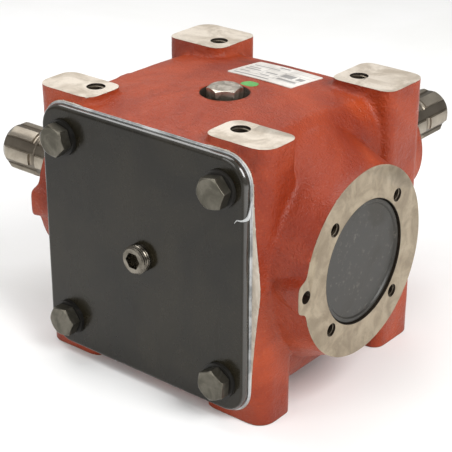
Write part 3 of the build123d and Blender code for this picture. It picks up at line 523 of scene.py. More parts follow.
@dataclass(frozen=True)
class BlackPaintFinish:
    """Black paint on pressed plate: faint orange peel, rubbed smears and a glossier rounded edge."""

    tone: Tone = Tone(paint(21, 18, 10), paint(34, 30, 20), 16.0, 700.0, 0.10, paint(104, 98, 88))
    smear: Patches = Patches(42.0, 4.0, (0.35, 0.72), (0.20, 0.36), 0.62, 1.2)
    smear_stretch: Point = (1.0, 1.0, 0.45)
    edge: Pair = (-86.8 * MM, -86.2 * MM)

    def build(self) -> Material:
        """Writes the material."""
        material, kit, shader = surface("black_plate")
        place = kit.place()
        kit.feed(shader, "Base Color", self.tone.lay(kit, place)[0])
        kit.feed(shader, "Roughness", self.smear.lay(kit, kit.place(self.smear_stretch)))
        kit.feed(shader, "Specular IOR Level", 0.24)
        peel = kit.bump(kit.grain(place, 330.0, detail=2.0), depth=0.05 * MM, strength=0.6)
        waves = kit.grain(place, 26.0, detail=1.0)
        kit.feed(shader, "Normal", kit.bump(waves, depth=0.35 * MM, strength=0.5, under=peel))
        kit.feed(shader, "Coat Weight", kit.ramp(kit.split(place)[1], *self.edge, 0.1, 1.0))
        kit.feed(shader, "Coat IOR", 1.7)
        kit.feed(shader, "Coat Roughness", 0.1)
        return material


@dataclass(frozen=True)
class SoftFinish:
    """A plain moulded or spread material: rubber, sealing compound or thick paint."""

    name: str
    tone: Tone
    rough: Pair
    grain: Pair
    depth: float
    strength: float

    def build(self) -> Material:
        """Writes the material."""
        material, kit, shader = surface(self.name)
        place = kit.place()
        colour, drift = self.tone.lay(kit, place)
        kit.feed(shader, "Base Color", colour)
        kit.feed(shader, "Roughness", kit.ramp(drift, 0.0, 1.0, *self.rough))
        kit.feed(shader, "Normal", kit.bump(kit.grain(place, *self.grain), self.depth, self.strength))
        return material


@dataclass(frozen=True)
class LabelFinish:
    """Foil label with blank ruled fields and plain shaded boxes, placed in shares of its size."""

    centre: Pair = (8.0 * MM, 38.0 * MM)
    size: Pair = (52.0 * MM, 36.0 * MM)
    foil: Tone = Tone(paint(204, 199, 192), paint(228, 224, 218), 40.0, 300.0, 0.2, paint(186, 180, 172))
    ink: Colour = paint(92, 90, 92)
    ink_share: float = 0.7
    edge: float = 0.004
    rows: tuple[float, ...] = (0.20, 0.36, 0.645, 0.80)
    row_ends: Pair = (0.03, 0.97)
    row_width: float = 0.012
    columns: Pair = (0.34, 0.60)
    column_ends: Pair = (0.20, 0.645)
    column_width: float = 0.008
    boxes: tuple[tuple[Pair, Pair], ...] = (
        ((0.62, 0.40), (0.80, 0.60)), ((0.84, 0.42), (0.94, 0.58)), ((0.38, 0.855), (0.54, 0.925)),
        ((0.64, 0.235), (0.93, 0.325)), ((0.06, 0.42), (0.30, 0.48)), ((0.06, 0.54), (0.24, 0.59)),
        ((0.38, 0.42), (0.56, 0.48)), ((0.06, 0.70), (0.46, 0.75)), ((0.06, 0.25), (0.22, 0.30)),
        ((0.38, 0.25), (0.52, 0.30)), ((0.06, 0.08), (0.60, 0.13)))

    def fields(self) -> list[tuple[Pair, Pair]]:
        """Low and high corner of every ruled line and shaded box."""
        start, stop = self.row_ends
        rules = [((start, row), (stop, row + self.row_width)) for row in self.rows]
        low, high = self.column_ends
        bars = [((column, low), (column + self.column_width, high)) for column in self.columns]
        return [*rules, *bars, *self.boxes]

    def box(self, kit: Kit, across: Sequence[Socket], low: Pair, high: Pair) -> Socket:
        """1 inside a rectangle of the label."""
        made = 1.0
        for value, start, stop in zip(across, low, high):
            for limit, ends in ((start, (0.0, 1.0)), (stop, (1.0, 0.0))):
                step = kit.ramp(value, limit - self.edge, limit + self.edge, *ends)
                made = kit.times(made, step)
        return made

    def build(self) -> Material:
        """Writes the material."""
        material, kit, shader = surface("label_foil")
        place = kit.place()
        across = [kit.calc("DIVIDE", kit.less(part, middle - size / 2), size)
                  for part, middle, size in zip(kit.split(place), self.centre, self.size)]
        ink = kit.highest(*(self.box(kit, across, low, high) for low, high in self.fields()))
        colour, drift = self.foil.lay(kit, place)
        kit.feed(shader, "Base Color", kit.blend(kit.times(ink, self.ink_share), colour, self.ink))
        kit.feed(shader, "Roughness", kit.ramp(drift, 0.0, 1.0, 0.32, 0.45))
        crinkle = kit.grain(place, 180.0, detail=2.0)
        kit.feed(shader, "Normal", kit.bump(crinkle, depth=0.05 * MM, strength=0.4))
        kit.feed(shader, "Metallic", 0.15)
        return material


def moulded(name: str, dark: Colour, light: Colour) -> SoftFinish:
    """Finish of a moulded skin that differs from the others in its colours only."""
    tone = Tone(dark, light, 22.0, 300.0, 0.25, paint(140, 134, 124))
    return SoftFinish(name, tone, (0.42, 0.6), (600.0, 3.0), 0.05 * MM, 0.5)


SHAFT = Tone(paint(150, 141, 128), paint(178, 169, 154), 40.0, 560.0, 0.2, paint(98, 90, 78))
SHAFT_ROUGH = (0.28, 0.42)


class Finish(Enum):
    """Every finish on the gearbox, by the name that pieces ask for."""

    CASTING = CastingFinish()
    PLATE = BlackPaintFinish()
    SEALANT = SoftFinish("sealant", Tone(paint(128, 130, 130), paint(186, 188, 188), 60.0, 500.0, 0.25,
                                         paint(92, 98, 102)), (0.2, 0.38), (260.0, 2.0), 0.2 * MM, 0.6)
    LABEL = LabelFinish()
    DAB = SoftFinish("green_dab", Tone(paint(70, 138, 66), paint(92, 160, 84), 160.0, 700.0, 0.3,
                                       paint(64, 120, 60)), (0.35, 0.5), (500.0, 2.0), 0.1 * MM, 0.6)
    RUBBER = moulded("rubber", paint(44, 42, 39), paint(64, 60, 55))
    CAP = moulded("end_cap_skin", paint(32, 30, 25), paint(46, 43, 37))
    SCREW = SteelFinish("dark_screw", Tone(paint(80, 77, 68), paint(108, 104, 94), 90.0, 620.0, 0.35,
                                           paint(60, 56, 48)), (0.28, 0.4), metallic=0.9)
    # black washers, their near-black colour standing partly for the soft shade round the screw heads
    WASHER = SteelFinish("black_washer_and_shade", Tone(paint(26, 25, 23), paint(40, 38, 35)), (0.35, 0.5),
                         metallic=0.4)
    PLUG = SteelFinish("plug_steel", Tone(paint(150, 141, 128), paint(214, 206, 194), 160.0, 380.0, 0.4,
                                          paint(104, 94, 82)), (0.32, 0.48))
    LEVEL_PLUG = SteelFinish("level_plug_steel", Tone(paint(96, 91, 82), paint(136, 130, 120), 120.0,
                                                      600.0, 0.3, paint(58, 54, 48)), (0.18, 0.3),
                             depth=0.03 * MM)
    OUTPUT = SteelFinish("output_shaft_steel", SHAFT, SHAFT_ROUGH, (0.1, 1.0, 1.0),
                         line=(1, CASE.line[1]))
    INPUT = SteelFinish("input_shaft_steel", SHAFT, SHAFT_ROUGH, (1.0, 0.1, 1.0),
                        line=(0, CASE.line[0]))
    # painted shade: a darker copy of the thread steel, for the threads that sit inside holes
    SHADED_HOLE_THREAD = SteelFinish("shaded_hole_thread", Tone(paint(92, 84, 72), paint(142, 132, 118)), (0.3, 0.45))
    THREAD = SteelFinish("thread_steel", Tone(paint(120, 112, 100), paint(190, 182, 168)), (0.25, 0.4))
    GEAR = SteelFinish("gear_steel", Tone(paint(110, 106, 100), paint(150, 146, 140)), (0.25, 0.4))
    BEARING = SteelFinish("bearing_steel", Tone(paint(180, 180, 182), paint(214, 214, 216)),
                          (0.12, 0.24))
    CAGE = SteelFinish("cage_sheet", Tone(paint(150, 146, 138), paint(176, 172, 164)), (0.25, 0.4))
    SPRING = SteelFinish("spring_steel", Tone(paint(52, 50, 48), paint(78, 76, 72)), (0.3, 0.45))


class Finishes:
    """Builds each finish once and hands it out."""

    def __init__(self) -> None:
        """Starts with no material made."""
        self.made: dict[Finish, Material] = {}

    def get(self, finish: Finish) -> Material:
        """The material of a finish, built when first asked for."""
        if finish not in self.made:
            self.made[finish] = finish.value.build()
        return self.made[finish]

    def wear(self, worn: dict[str, Finish]) -> None:
        """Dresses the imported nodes, each in its finish."""
        for node, finish in worn.items():
            dress(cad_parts[node], self.get(finish))


# ---------------------------------------------------------------- making pieces

def stand(name: str, data: bpy.types.ID) -> Piece:
    """Puts a new object with that data into the scene."""
    made = bpy.data.objects.new(name, data)
    bpy.context.scene.collection.objects.link(made)
    return made


def plain_mesh(name: str, points: Sequence[Point], edges: Sequence[tuple[int, int]] = (),
               faces: Sequence[Sequence[int]] = ()) -> bpy.types.Mesh:
    """A mesh from bare lists."""
    mesh = bpy.data.meshes.new(name)
    mesh.from_pydata([tuple(p) for p in points], edges, faces)
    return mesh


def dress(piece: Piece, material: Material) -> None:
    """Gives a piece one material."""
    piece.data.materials.clear()
    piece.data.materials.append(material)


def shade(mesh: bpy.types.Mesh, smooth: float) -> None:
    """Shades a mesh smooth, apart from edges that turn by more than so many degrees."""
    for polygon in mesh.polygons:
        polygon.use_smooth = True
    mesh.set_sharp_from_angle(angle=math.radians(smooth))


def around(steps: int) -> list[float]:
    """Angles of so many equal steps round a circle."""
    return [2 * math.pi * step / steps for step in range(steps)]


def bands(rows: int, steps: int, first: int = 0) -> list[tuple[int, ...]]:
    """Faces that join each ring of points to the next.

    Args:
        rows: how many bands there are.
        steps: points in a ring.
        first: number of the first point.

    Returns:
        The corner numbers of each face.
    """
    faces = []
    for row in range(rows):
        for step in range(steps):
            a, b = first + row * steps + step, first + row * steps + (step + 1) % steps
            faces.append((a, b, b + steps, a + steps))
    return faces


def mesh_piece(name: str, points: Sequence[Vector], faces: Sequence[Sequence[int]],
               smooth: float) -> Piece:
    """An object from points and faces, closed and with its normals outwards.

    Args:
        name: the piece's name.
        points: places in metres, in the gearbox's frame.
        faces: corner numbers of each face.
        smooth: degrees under which an edge is shaded smooth.

    Returns:
        The new object, at the origin.
    """
    mesh = plain_mesh(name, points, faces=faces)
    body = bmesh.new()
    body.from_mesh(mesh)
    bmesh.ops.remove_doubles(body, verts=body.verts, dist=1e-7)
    bmesh.ops.recalc_face_normals(body, faces=body.faces)
    for edge in body.edges:
        if len(edge.link_faces) == 2 and edge.calc_face_angle() > math.radians(smooth):
            edge.smooth = False
    for face in body.faces:
        face.smooth = True
    body.to_mesh(mesh)
    body.free()
    return stand(name, mesh)


class Tree:
    """A Geometry Nodes tree with named inputs, run once on an object and then applied."""

    def __init__(self, name: str, inputs: Sequence[tuple[str, str, object]]) -> None:
        """Starts the tree.

        Args:
            name: the tree's name.
            inputs: (name, socket type, value) of each input after the geometry.
        """
        self.tree = bpy.data.node_groups.new(name, "GeometryNodeTree")
        face, geometry = self.tree.interface, "NodeSocketGeometry"
        face.new_socket("Geometry", in_out="INPUT", socket_type=geometry)
        self.values: dict[str, object] = {}
        for title, kind, value in inputs:
            socket = face.new_socket(title, in_out="INPUT", socket_type=kind)
            self.values[socket.identifier] = value
        face.new_socket("Geometry", in_out="OUTPUT", socket_type=geometry)
        self.kit = Kit(self.tree)
        self.given = self.tree.nodes.new("NodeGroupInput").outputs
        self.end = self.tree.nodes.new("NodeGroupOutput")

    def turned(self, instance: Socket, scale: object = (1.0, 1.0, 1.0)) -> Socket:
        """Puts a thing on each of the given points, by the turn that the point carries."""
        named = self.kit.add("GeometryNodeInputNamedAttribute", {"Name": "turn"},
                             data_type="FLOAT_VECTOR")
        turn = self.kit.add("FunctionNodeEulerToRotation", {0: named.outputs["Attribute"]})
        return self.kit.add("GeometryNodeInstanceOnPoints",
                            {"Points": self.given["Geometry"], "Instance": instance,
                             "Rotation": turn.outputs[0], "Scale": scale}).outputs[0]

    def run(self, result: Socket, base: Piece, name: str, material: Material, smooth: float) -> Piece:
        """Ends the tree, runs it on an object and keeps the result as a plain mesh.

        Args:
            result: the geometry to end with.
            base: the object that carries the tree's points or curve.
            name: the new piece's name.
            material: the piece's material.
            smooth: degrees under which an edge is shaded smooth.

        Returns:
            The new object, at the origin.
        """
        real = self.kit.add("GeometryNodeRealizeInstances", {0: result})
        cover = self.kit.add("GeometryNodeSetMaterial",
                             {"Geometry": real.outputs[0], "Material": material})
        self.kit.feed(self.end, 0, cover.outputs[0])
        modifier = base.modifiers.new("tree", "NODES")
        modifier.node_group = self.tree
        for identifier, value in self.values.items():
            modifier[identifier] = value
        graph = bpy.context.evaluated_depsgraph_get()
        mesh = bpy.data.meshes.new_from_object(base.evaluated_get(graph))
        mesh.name = name
        base.modifiers.remove(modifier)
        bpy.data.objects.remove(base)
        shade(mesh, smooth)
        made = stand(name, mesh)
        dress(made, material)
        return made


def points_object(name: str, places: Sequence[Point], turns: Sequence[Point]) -> Piece:
    """Loose points that carry an Euler turn in radians each, for a tree to put things on."""
    mesh = plain_mesh(name, places)
    layer = mesh.attributes.new("turn", "FLOAT_VECTOR", "POINT")
    for item, turn in zip(layer.data, turns):
        item.vector = turn
    return stand(name, mesh)


@dataclass(frozen=True)
class Thread:
    """Screw threads of one size: a ridge that winds down from each place."""

    radius: float
    pitch: float
    depth: float
    crest_share: float = 0.31
    steps: int = 28
    ridge_sides: int = 4
    smooth: float = 60.0

    def cut(self, name: str, places: Sequence[Point], turns: Sequence[Point],
            material: Material) -> Piece:
        """Makes the threads.

        Args:
            name: the piece's name.
            places: where each thread starts.
            turns: Euler turns that bring +Z out of each start.
            material: finish of the threads.

        Returns:
            The piece.
        """
        crest = self.pitch * self.crest_share
        tree = Tree(name, (("Radius", FLOAT, self.radius), ("Pitch", FLOAT, self.pitch),
                           ("Depth", FLOAT, self.depth), ("Crest", FLOAT, crest)))
        kit, given = tree.kit, tree.given
        spiral = kit.add("GeometryNodeCurveSpiral", {
            "Resolution": self.steps, "Rotations": kit.calc("DIVIDE", given["Depth"], given["Pitch"]),
            "Start Radius": given["Radius"], "End Radius": given["Radius"],
            "Height": kit.times(given["Depth"], -1.0)})
        profile = kit.add("GeometryNodeCurvePrimitiveCircle",
                          {"Resolution": self.ridge_sides, "Radius": given["Crest"]})
        swept = kit.add("GeometryNodeCurveToMesh", {"Curve": spiral.outputs[0], "Fill Caps": True,
                                                    "Profile Curve": profile.outputs[0]})
        base = points_object(name + "_points", places, turns)
        return tree.run(tree.turned(swept.outputs[0]), base, name, material, self.smooth)


# ---------------------------------------------------------------- casting

@dataclass
class Casting:
    """The housing, with threads in its tapped holes and a dab of inspection paint on top."""

    pad_thread: Thread = Thread(6.0 * MM, 2.0 * MM, 14.0 * MM)
    pad_inset: float = 0.8 * MM
    flange_thread: Thread = Thread(4.25 * MM, 1.5 * MM, 18.0 * MM)
    flange_inset: float = 0.7 * MM
    dab_at: Pair = (10.3 * MM, 8.6 * MM)
    dab_size: Pair = (5.8 * MM, 5.0 * MM)
    dab_lifts: Pair = (0.16 * MM, -0.05 * MM)
    dab_unevenness: float = 0.16
    dab_waves: float = 1.3
    dab_slice: float = 0.4
    dab_rings: int = 4
    dab_steps: int = 36
    dab_smooth: float = 60.0

    def dab(self) -> Piece:
        """Irregular dab of paint lying on the crowned top."""
        rings, steps = self.dab_rings, self.dab_steps
        centre = Vector((CASE.line[0], CASE.line[1], CASE.crown_top - CASE.crown_radius))
        points = []
        for lift in self.dab_lifts:
            for ring in range(rings + 1):
                share = ring / rings
                for angle in around(steps):
                    c, s = math.cos(angle), math.sin(angle)
                    bend = noise.noise(Vector((c, s, self.dab_slice)) * self.dab_waves)
                    rim = 1.0 + self.dab_unevenness * bend
                    u = self.dab_at[0] + self.dab_size[0] * share * rim * c
                    v = self.dab_at[1] + self.dab_size[1] * share * rim * s
                    flat = Vector((u - centre.x, v - centre.y, 0.0))
                    top = centre.z + math.sqrt(CASE.crown_radius ** 2 - flat.length_squared)
                    thick = lift * (1.0 - share ** 4) if lift > 0 else lift
                    points.append(Vector((u, v, top + thick)))
        stride = steps * (rings + 1)
        faces = bands(rings, steps) + bands(rings, steps, stride)
        for a, b, _, _ in bands(1, steps, rings * steps):
            faces.append((a, b, b + stride, a + stride))
        return mesh_piece("paint_dab", points, faces, self.dab_smooth)

    def pad_threads(self, steel: Material) -> Piece:
        """Threads in the pads above and below."""
        u, v = CASE.pads
        heights = (CASE.pad_top - self.pad_inset, self.pad_inset)
        places = [(x, y, z) for z in heights for x in (-u, u) for y in (-v, v)]
        turns = [(0.0 if z > CASE.pad_top / 2 else math.pi, 0.0, 0.0) for _, _, z in places]
        return self.pad_thread.cut("pad_threads", places, turns, steel)

    def flange_threads(self, steel: Material) -> Piece:
        """Threads in both flanges."""
        holes = CASE.flange_holes(self.flange_inset)
        turns = [(0.0, way * math.pi / 2, 0.0) for _, way in holes]
        return self.flange_thread.cut("flange_threads", [place for place, _ in holes], turns, steel)

    def build(self, finishes: Finishes) -> None:
        """Dresses the housing and adds its small pieces."""
        finishes.wear({"housing": Finish.CASTING})
        skin = CastSkin().build(finishes.get(Finish.CASTING))
        steel = finishes.get(Finish.SHADED_HOLE_THREAD)
        pads, flanges = self.pad_threads(steel), self.flange_threads(steel)
        for piece in (pads, flanges):
            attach(piece, "gearcase")
        dab = self.dab()
        dress(dab, finishes.get(Finish.DAB))
        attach(dab, "gearcase")
        LOG.info("casting: %s, %s, %s, %s", skin.name, pads.name, flanges.name, dab.name)


@dataclass(frozen=True)
class Plug:
    """A round plug for a hole: its radius, its length, and how far in its middle lies."""

    radius: float
    length: float
    inset: float

    @classmethod
    def ear(cls, depth: float) -> "Plug":
        """The plug of an ear's hole, which stands out of the face and reaches down to a depth."""
        proud = 6.0 * MM
        return cls(5.0 * MM, depth + proud, (depth - proud) / 2)


@dataclass
class CastSkin:
    """The housing as it was cast: every sharp foundry edge rounded, then the machined faces cut true.

    The casting's own solid is grown past its machined faces, its openings are plugged, and the
    whole is remeshed and smoothed, so that only cast edges turn round.  The machined planes and the
    true bores and holes are then cut back into it.
    """

    faces: tuple[tuple[Point, float], ...] = (
        ((0.0, 0.0, 1.0), CASE.pad_top), ((0.0, 0.0, -1.0), 0.0), ((1.0, 0.0, 0.0), CASE.right),
        ((-1.0, 0.0, 0.0), -CASE.left), ((0.0, -1.0, 0.0), -CASE.front),
        ((0.0, 1.0, 0.0), CASE.neck_end))
    grown: float = 5.0 * MM
    flat_slack: float = 0.02 * MM
    facing: float = 0.999
    weld: float = 0.002 * MM
    ear_side: float = 90.2 * MM
    ear_front: float = -95.0 * MM
    pad_plug: Plug = Plug(8.0 * MM, 26.0 * MM, 8.5 * MM)
    flange_plug: Plug = Plug(5.2 * MM, 31.0 * MM, 8.0 * MM)
    ear_filling: Plug = Plug.ear(18.0 * MM)
    ear_hole: Plug = Plug.ear(6.0 * MM)
    output_plug: Pair = (45.0 * MM, 229.0 * MM)
    input_plug: Pair = (38.5 * MM, 122.0 * MM)
    input_plug_y: float = 101.0 * MM
    plug_sides: int = 64
    recess_floor: float = 162.0 * MM
    recess_radii: Pair = (17.0 * MM, 16.25 * MM)
    room: tuple[Point, Point] = ((-76.0 * MM, -86.4 * MM, 14.0 * MM), (76.0 * MM, 66.0 * MM, 171.0 * MM))
    voxel: float = 1.3 * MM
    softness: float = 0.5
    rounds: int = 16
    thinned: float = 0.34
    swell: float = 0.22 * MM
    swell_waves: Pair = (42.0, 105.0)
    smooth: float = 32.0

    def keep(self, body: Body, name: str) -> Piece:
        """Turns a bmesh into an object of the scene."""
        mesh = bpy.data.meshes.new(name)
        body.to_mesh(mesh)
        body.free()
        return stand(name, mesh)

    def rod(self, place: Point, axis: Point, radius: float, length: float) -> Piece:
        """A closed round plug, centred on a place."""
        turn = Vector(axis).to_track_quat("Z", "Y").to_matrix().to_4x4()
        body = bmesh.new()
        bmesh.ops.create_cone(body, cap_ends=True, segments=self.plug_sides, radius1=radius,
                              radius2=radius, depth=length, matrix=Matrix.Translation(place) @ turn)
        return self.keep(body, "plug")

    def block(self, low: Point, high: Point) -> Piece:
        """A closed box between two corners."""
        size = Vector(high) - Vector(low)
        lay = Matrix.Translation((Vector(low) + Vector(high)) / 2) @ Matrix.Diagonal((*size, 1.0))
        body = bmesh.new()
        bmesh.ops.create_cube(body, size=1.0, matrix=lay)
        return self.keep(body, "plug")

    def plugs(self) -> list[Piece]:
        """One plug for each hole, bore and room of the housing, a little wider than it."""
        x, y, z = CASE.line
        pad, flange = self.pad_plug, self.flange_plug
        made = []
        for u in (-CASE.pads[0], CASE.pads[0]):
            for v in (-CASE.pads[1], CASE.pads[1]):
                for height in (CASE.pad_top - pad.inset, pad.inset):
                    made.append(self.rod((u, v, height), (0, 0, 1), pad.radius, pad.length))
        for place, _ in CASE.flange_holes(flange.inset):
            made.append(self.rod(place, (1, 0, 0), flange.radius, flange.length))
        made.append(self.rod((x, y, z), (1, 0, 0), *self.output_plug))
        made.append(self.rod((x, self.input_plug_y, z), (0, 1, 0), *self.input_plug))
        made.append(self.block(*self.room))
        return made

    def ear_rods(self, plug: Plug) -> list[Piece]:
        """A plug in the hole of each flange's ear."""
        _, y, z = CASE.line
        return [self.rod((face - way * plug.inset, y - CASE.ear_drop, z), (1, 0, 0), plug.radius,
                         plug.length) for face, way in CASE.sides()]

    def recess_rod(self, radius: float, top: float) -> Piece:
        """A plug in the recess round the filler plug, up to a height."""
        height = top - self.recess_floor
        return self.rod((CASE.line[0], CASE.line[1], top - height / 2), (0, 0, 1), radius, height)

    def envelope(self) -> Piece:
        """Everything inside the machined planes; the ears reach further forward than the front."""
        side, ahead = self.ear_side, self.ear_front
        outline = ((CASE.left, ahead), (-side, ahead), (-side, CASE.front), (side, CASE.front),
                   (side, ahead), (CASE.right, ahead), (CASE.right, CASE.neck_end),
                   (CASE.left, CASE.neck_end))
        body = bmesh.new()
        face = body.faces.new([body.verts.new((u, v, 0.0)) for u, v in outline])
        self.push(body, [face], Vector((0.0, 0.0, CASE.pad_top)))
        bmesh.ops.recalc_face_normals(body, faces=body.faces)
        return self.keep(body, "envelope")

    def push(self, body: Body, flats: list[bmesh.types.BMFace], step: Vector) -> None:
        """Copies faces a step away, with walls between."""
        pushed = bmesh.ops.extrude_face_region(body, geom=flats)
        ends = [item for item in pushed["geom"] if isinstance(item, bmesh.types.BMVert)]
        bmesh.ops.translate(body, verts=ends, vec=step)

    def grow(self, body: Body) -> None:
        """Pushes every machined face outwards, with straight walls behind it; the ears' fronts stay."""
        for side in (-self.ear_side, self.ear_side):
            bmesh.ops.bisect_plane(body, geom=[*body.verts, *body.edges, *body.faces], dist=1e-7,
                                   plane_co=(side, 0.0, 0.0), plane_no=(1.0, 0.0, 0.0))
        for axis, reach in self.faces:
            way = Vector(axis)
            ahead = way.y < 0.0
            flats = []
            for face in body.faces:
                middle = face.calc_center_median()
                on_plane = abs(middle.dot(way) - reach) < self.flat_slack
                if face.normal.dot(way) > self.facing and on_plane:
                    if not ahead or abs(middle.x) < self.ear_side:
                        flats.append(face)
            self.push(body, flats, way * self.grown)
            bmesh.ops.delete(body, geom=flats, context="FACES_ONLY")

    def settle(self, piece: Piece) -> None:
        """Applies a piece's modifiers."""
        graph = bpy.context.evaluated_depsgraph_get()
        mesh = bpy.data.meshes.new_from_object(piece.evaluated_get(graph))
        piece.modifiers.clear()
        piece.data = mesh

    def combine(self, piece: Piece, other: Piece, operation: str) -> None:
        """Cuts or clips a piece by another."""
        modifier = piece.modifiers.new("cut", "BOOLEAN")
        modifier.operation, modifier.solver, modifier.object = operation, "MANIFOLD", other
        self.settle(piece)

    def soften(self, piece: Piece) -> None:
        """Remeshes and smooths a piece, gives it the swells of a sand mould and thins its mesh."""
        remesh = piece.modifiers.new("skin", "REMESH")
        remesh.mode, remesh.voxel_size = "VOXEL", self.voxel
        smoother = piece.modifiers.new("soften", "SMOOTH")
        smoother.factor, smoother.iterations = self.softness, self.rounds
        self.settle(piece)
        mesh = piece.data
        places = [vertex.co.copy() for vertex in mesh.vertices]
        ways = [item.vector.copy() for item in mesh.vertex_normals]
        broad, fine = self.swell_waves
        moved = []
        for place, way in zip(places, ways):
            lift = noise.noise(place * broad) + 0.5 * noise.noise(place * fine)
            moved.extend(place + way * (lift * self.swell))
        mesh.vertices.foreach_set("co", moved)
        mesh.update()
        piece.modifiers.new("thin", "DECIMATE").ratio = self.thinned
        self.settle(piece)

    def build(self, material: Material) -> Piece:
        """Makes the skin.

        Args:
            material: the casting's finish.

        Returns:
            The piece, which stands in for the housing.
        """
        body = bmesh.new()
        body.from_mesh(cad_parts["housing"].data)
        bmesh.ops.remove_doubles(body, verts=body.verts, dist=self.weld)
        solid = self.keep(body.copy(), "true_solid")
        self.grow(body)
        plugs = self.plugs()
        filled, opened = self.recess_radii
        fillings = [self.recess_rod(filled, CASE.crown_top), *self.ear_rods(self.ear_filling)]
        for plug in (*plugs, *fillings):
            body.from_mesh(plug.data)
        plugs.extend(self.ear_rods(self.ear_hole))
        plugs.append(self.recess_rod(opened, CASE.pad_top + self.grown))
        piece = self.keep(body, "cast_housing")
        self.soften(piece)
        hull = self.envelope()
        self.combine(piece, hull, "INTERSECT")
        for plug in plugs:
            self.combine(plug, solid, "DIFFERENCE")
            if plug.data.polygons:
                self.combine(piece, plug, "DIFFERENCE")
        for spare in (solid, hull, *fillings, *plugs):
            bpy.data.objects.remove(spare)
        shade(piece.data, self.smooth)
        dress(piece, material)
        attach(piece, "gearcase")
        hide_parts("housing")
        return piece


# ---------------------------------------------------------------- front cover

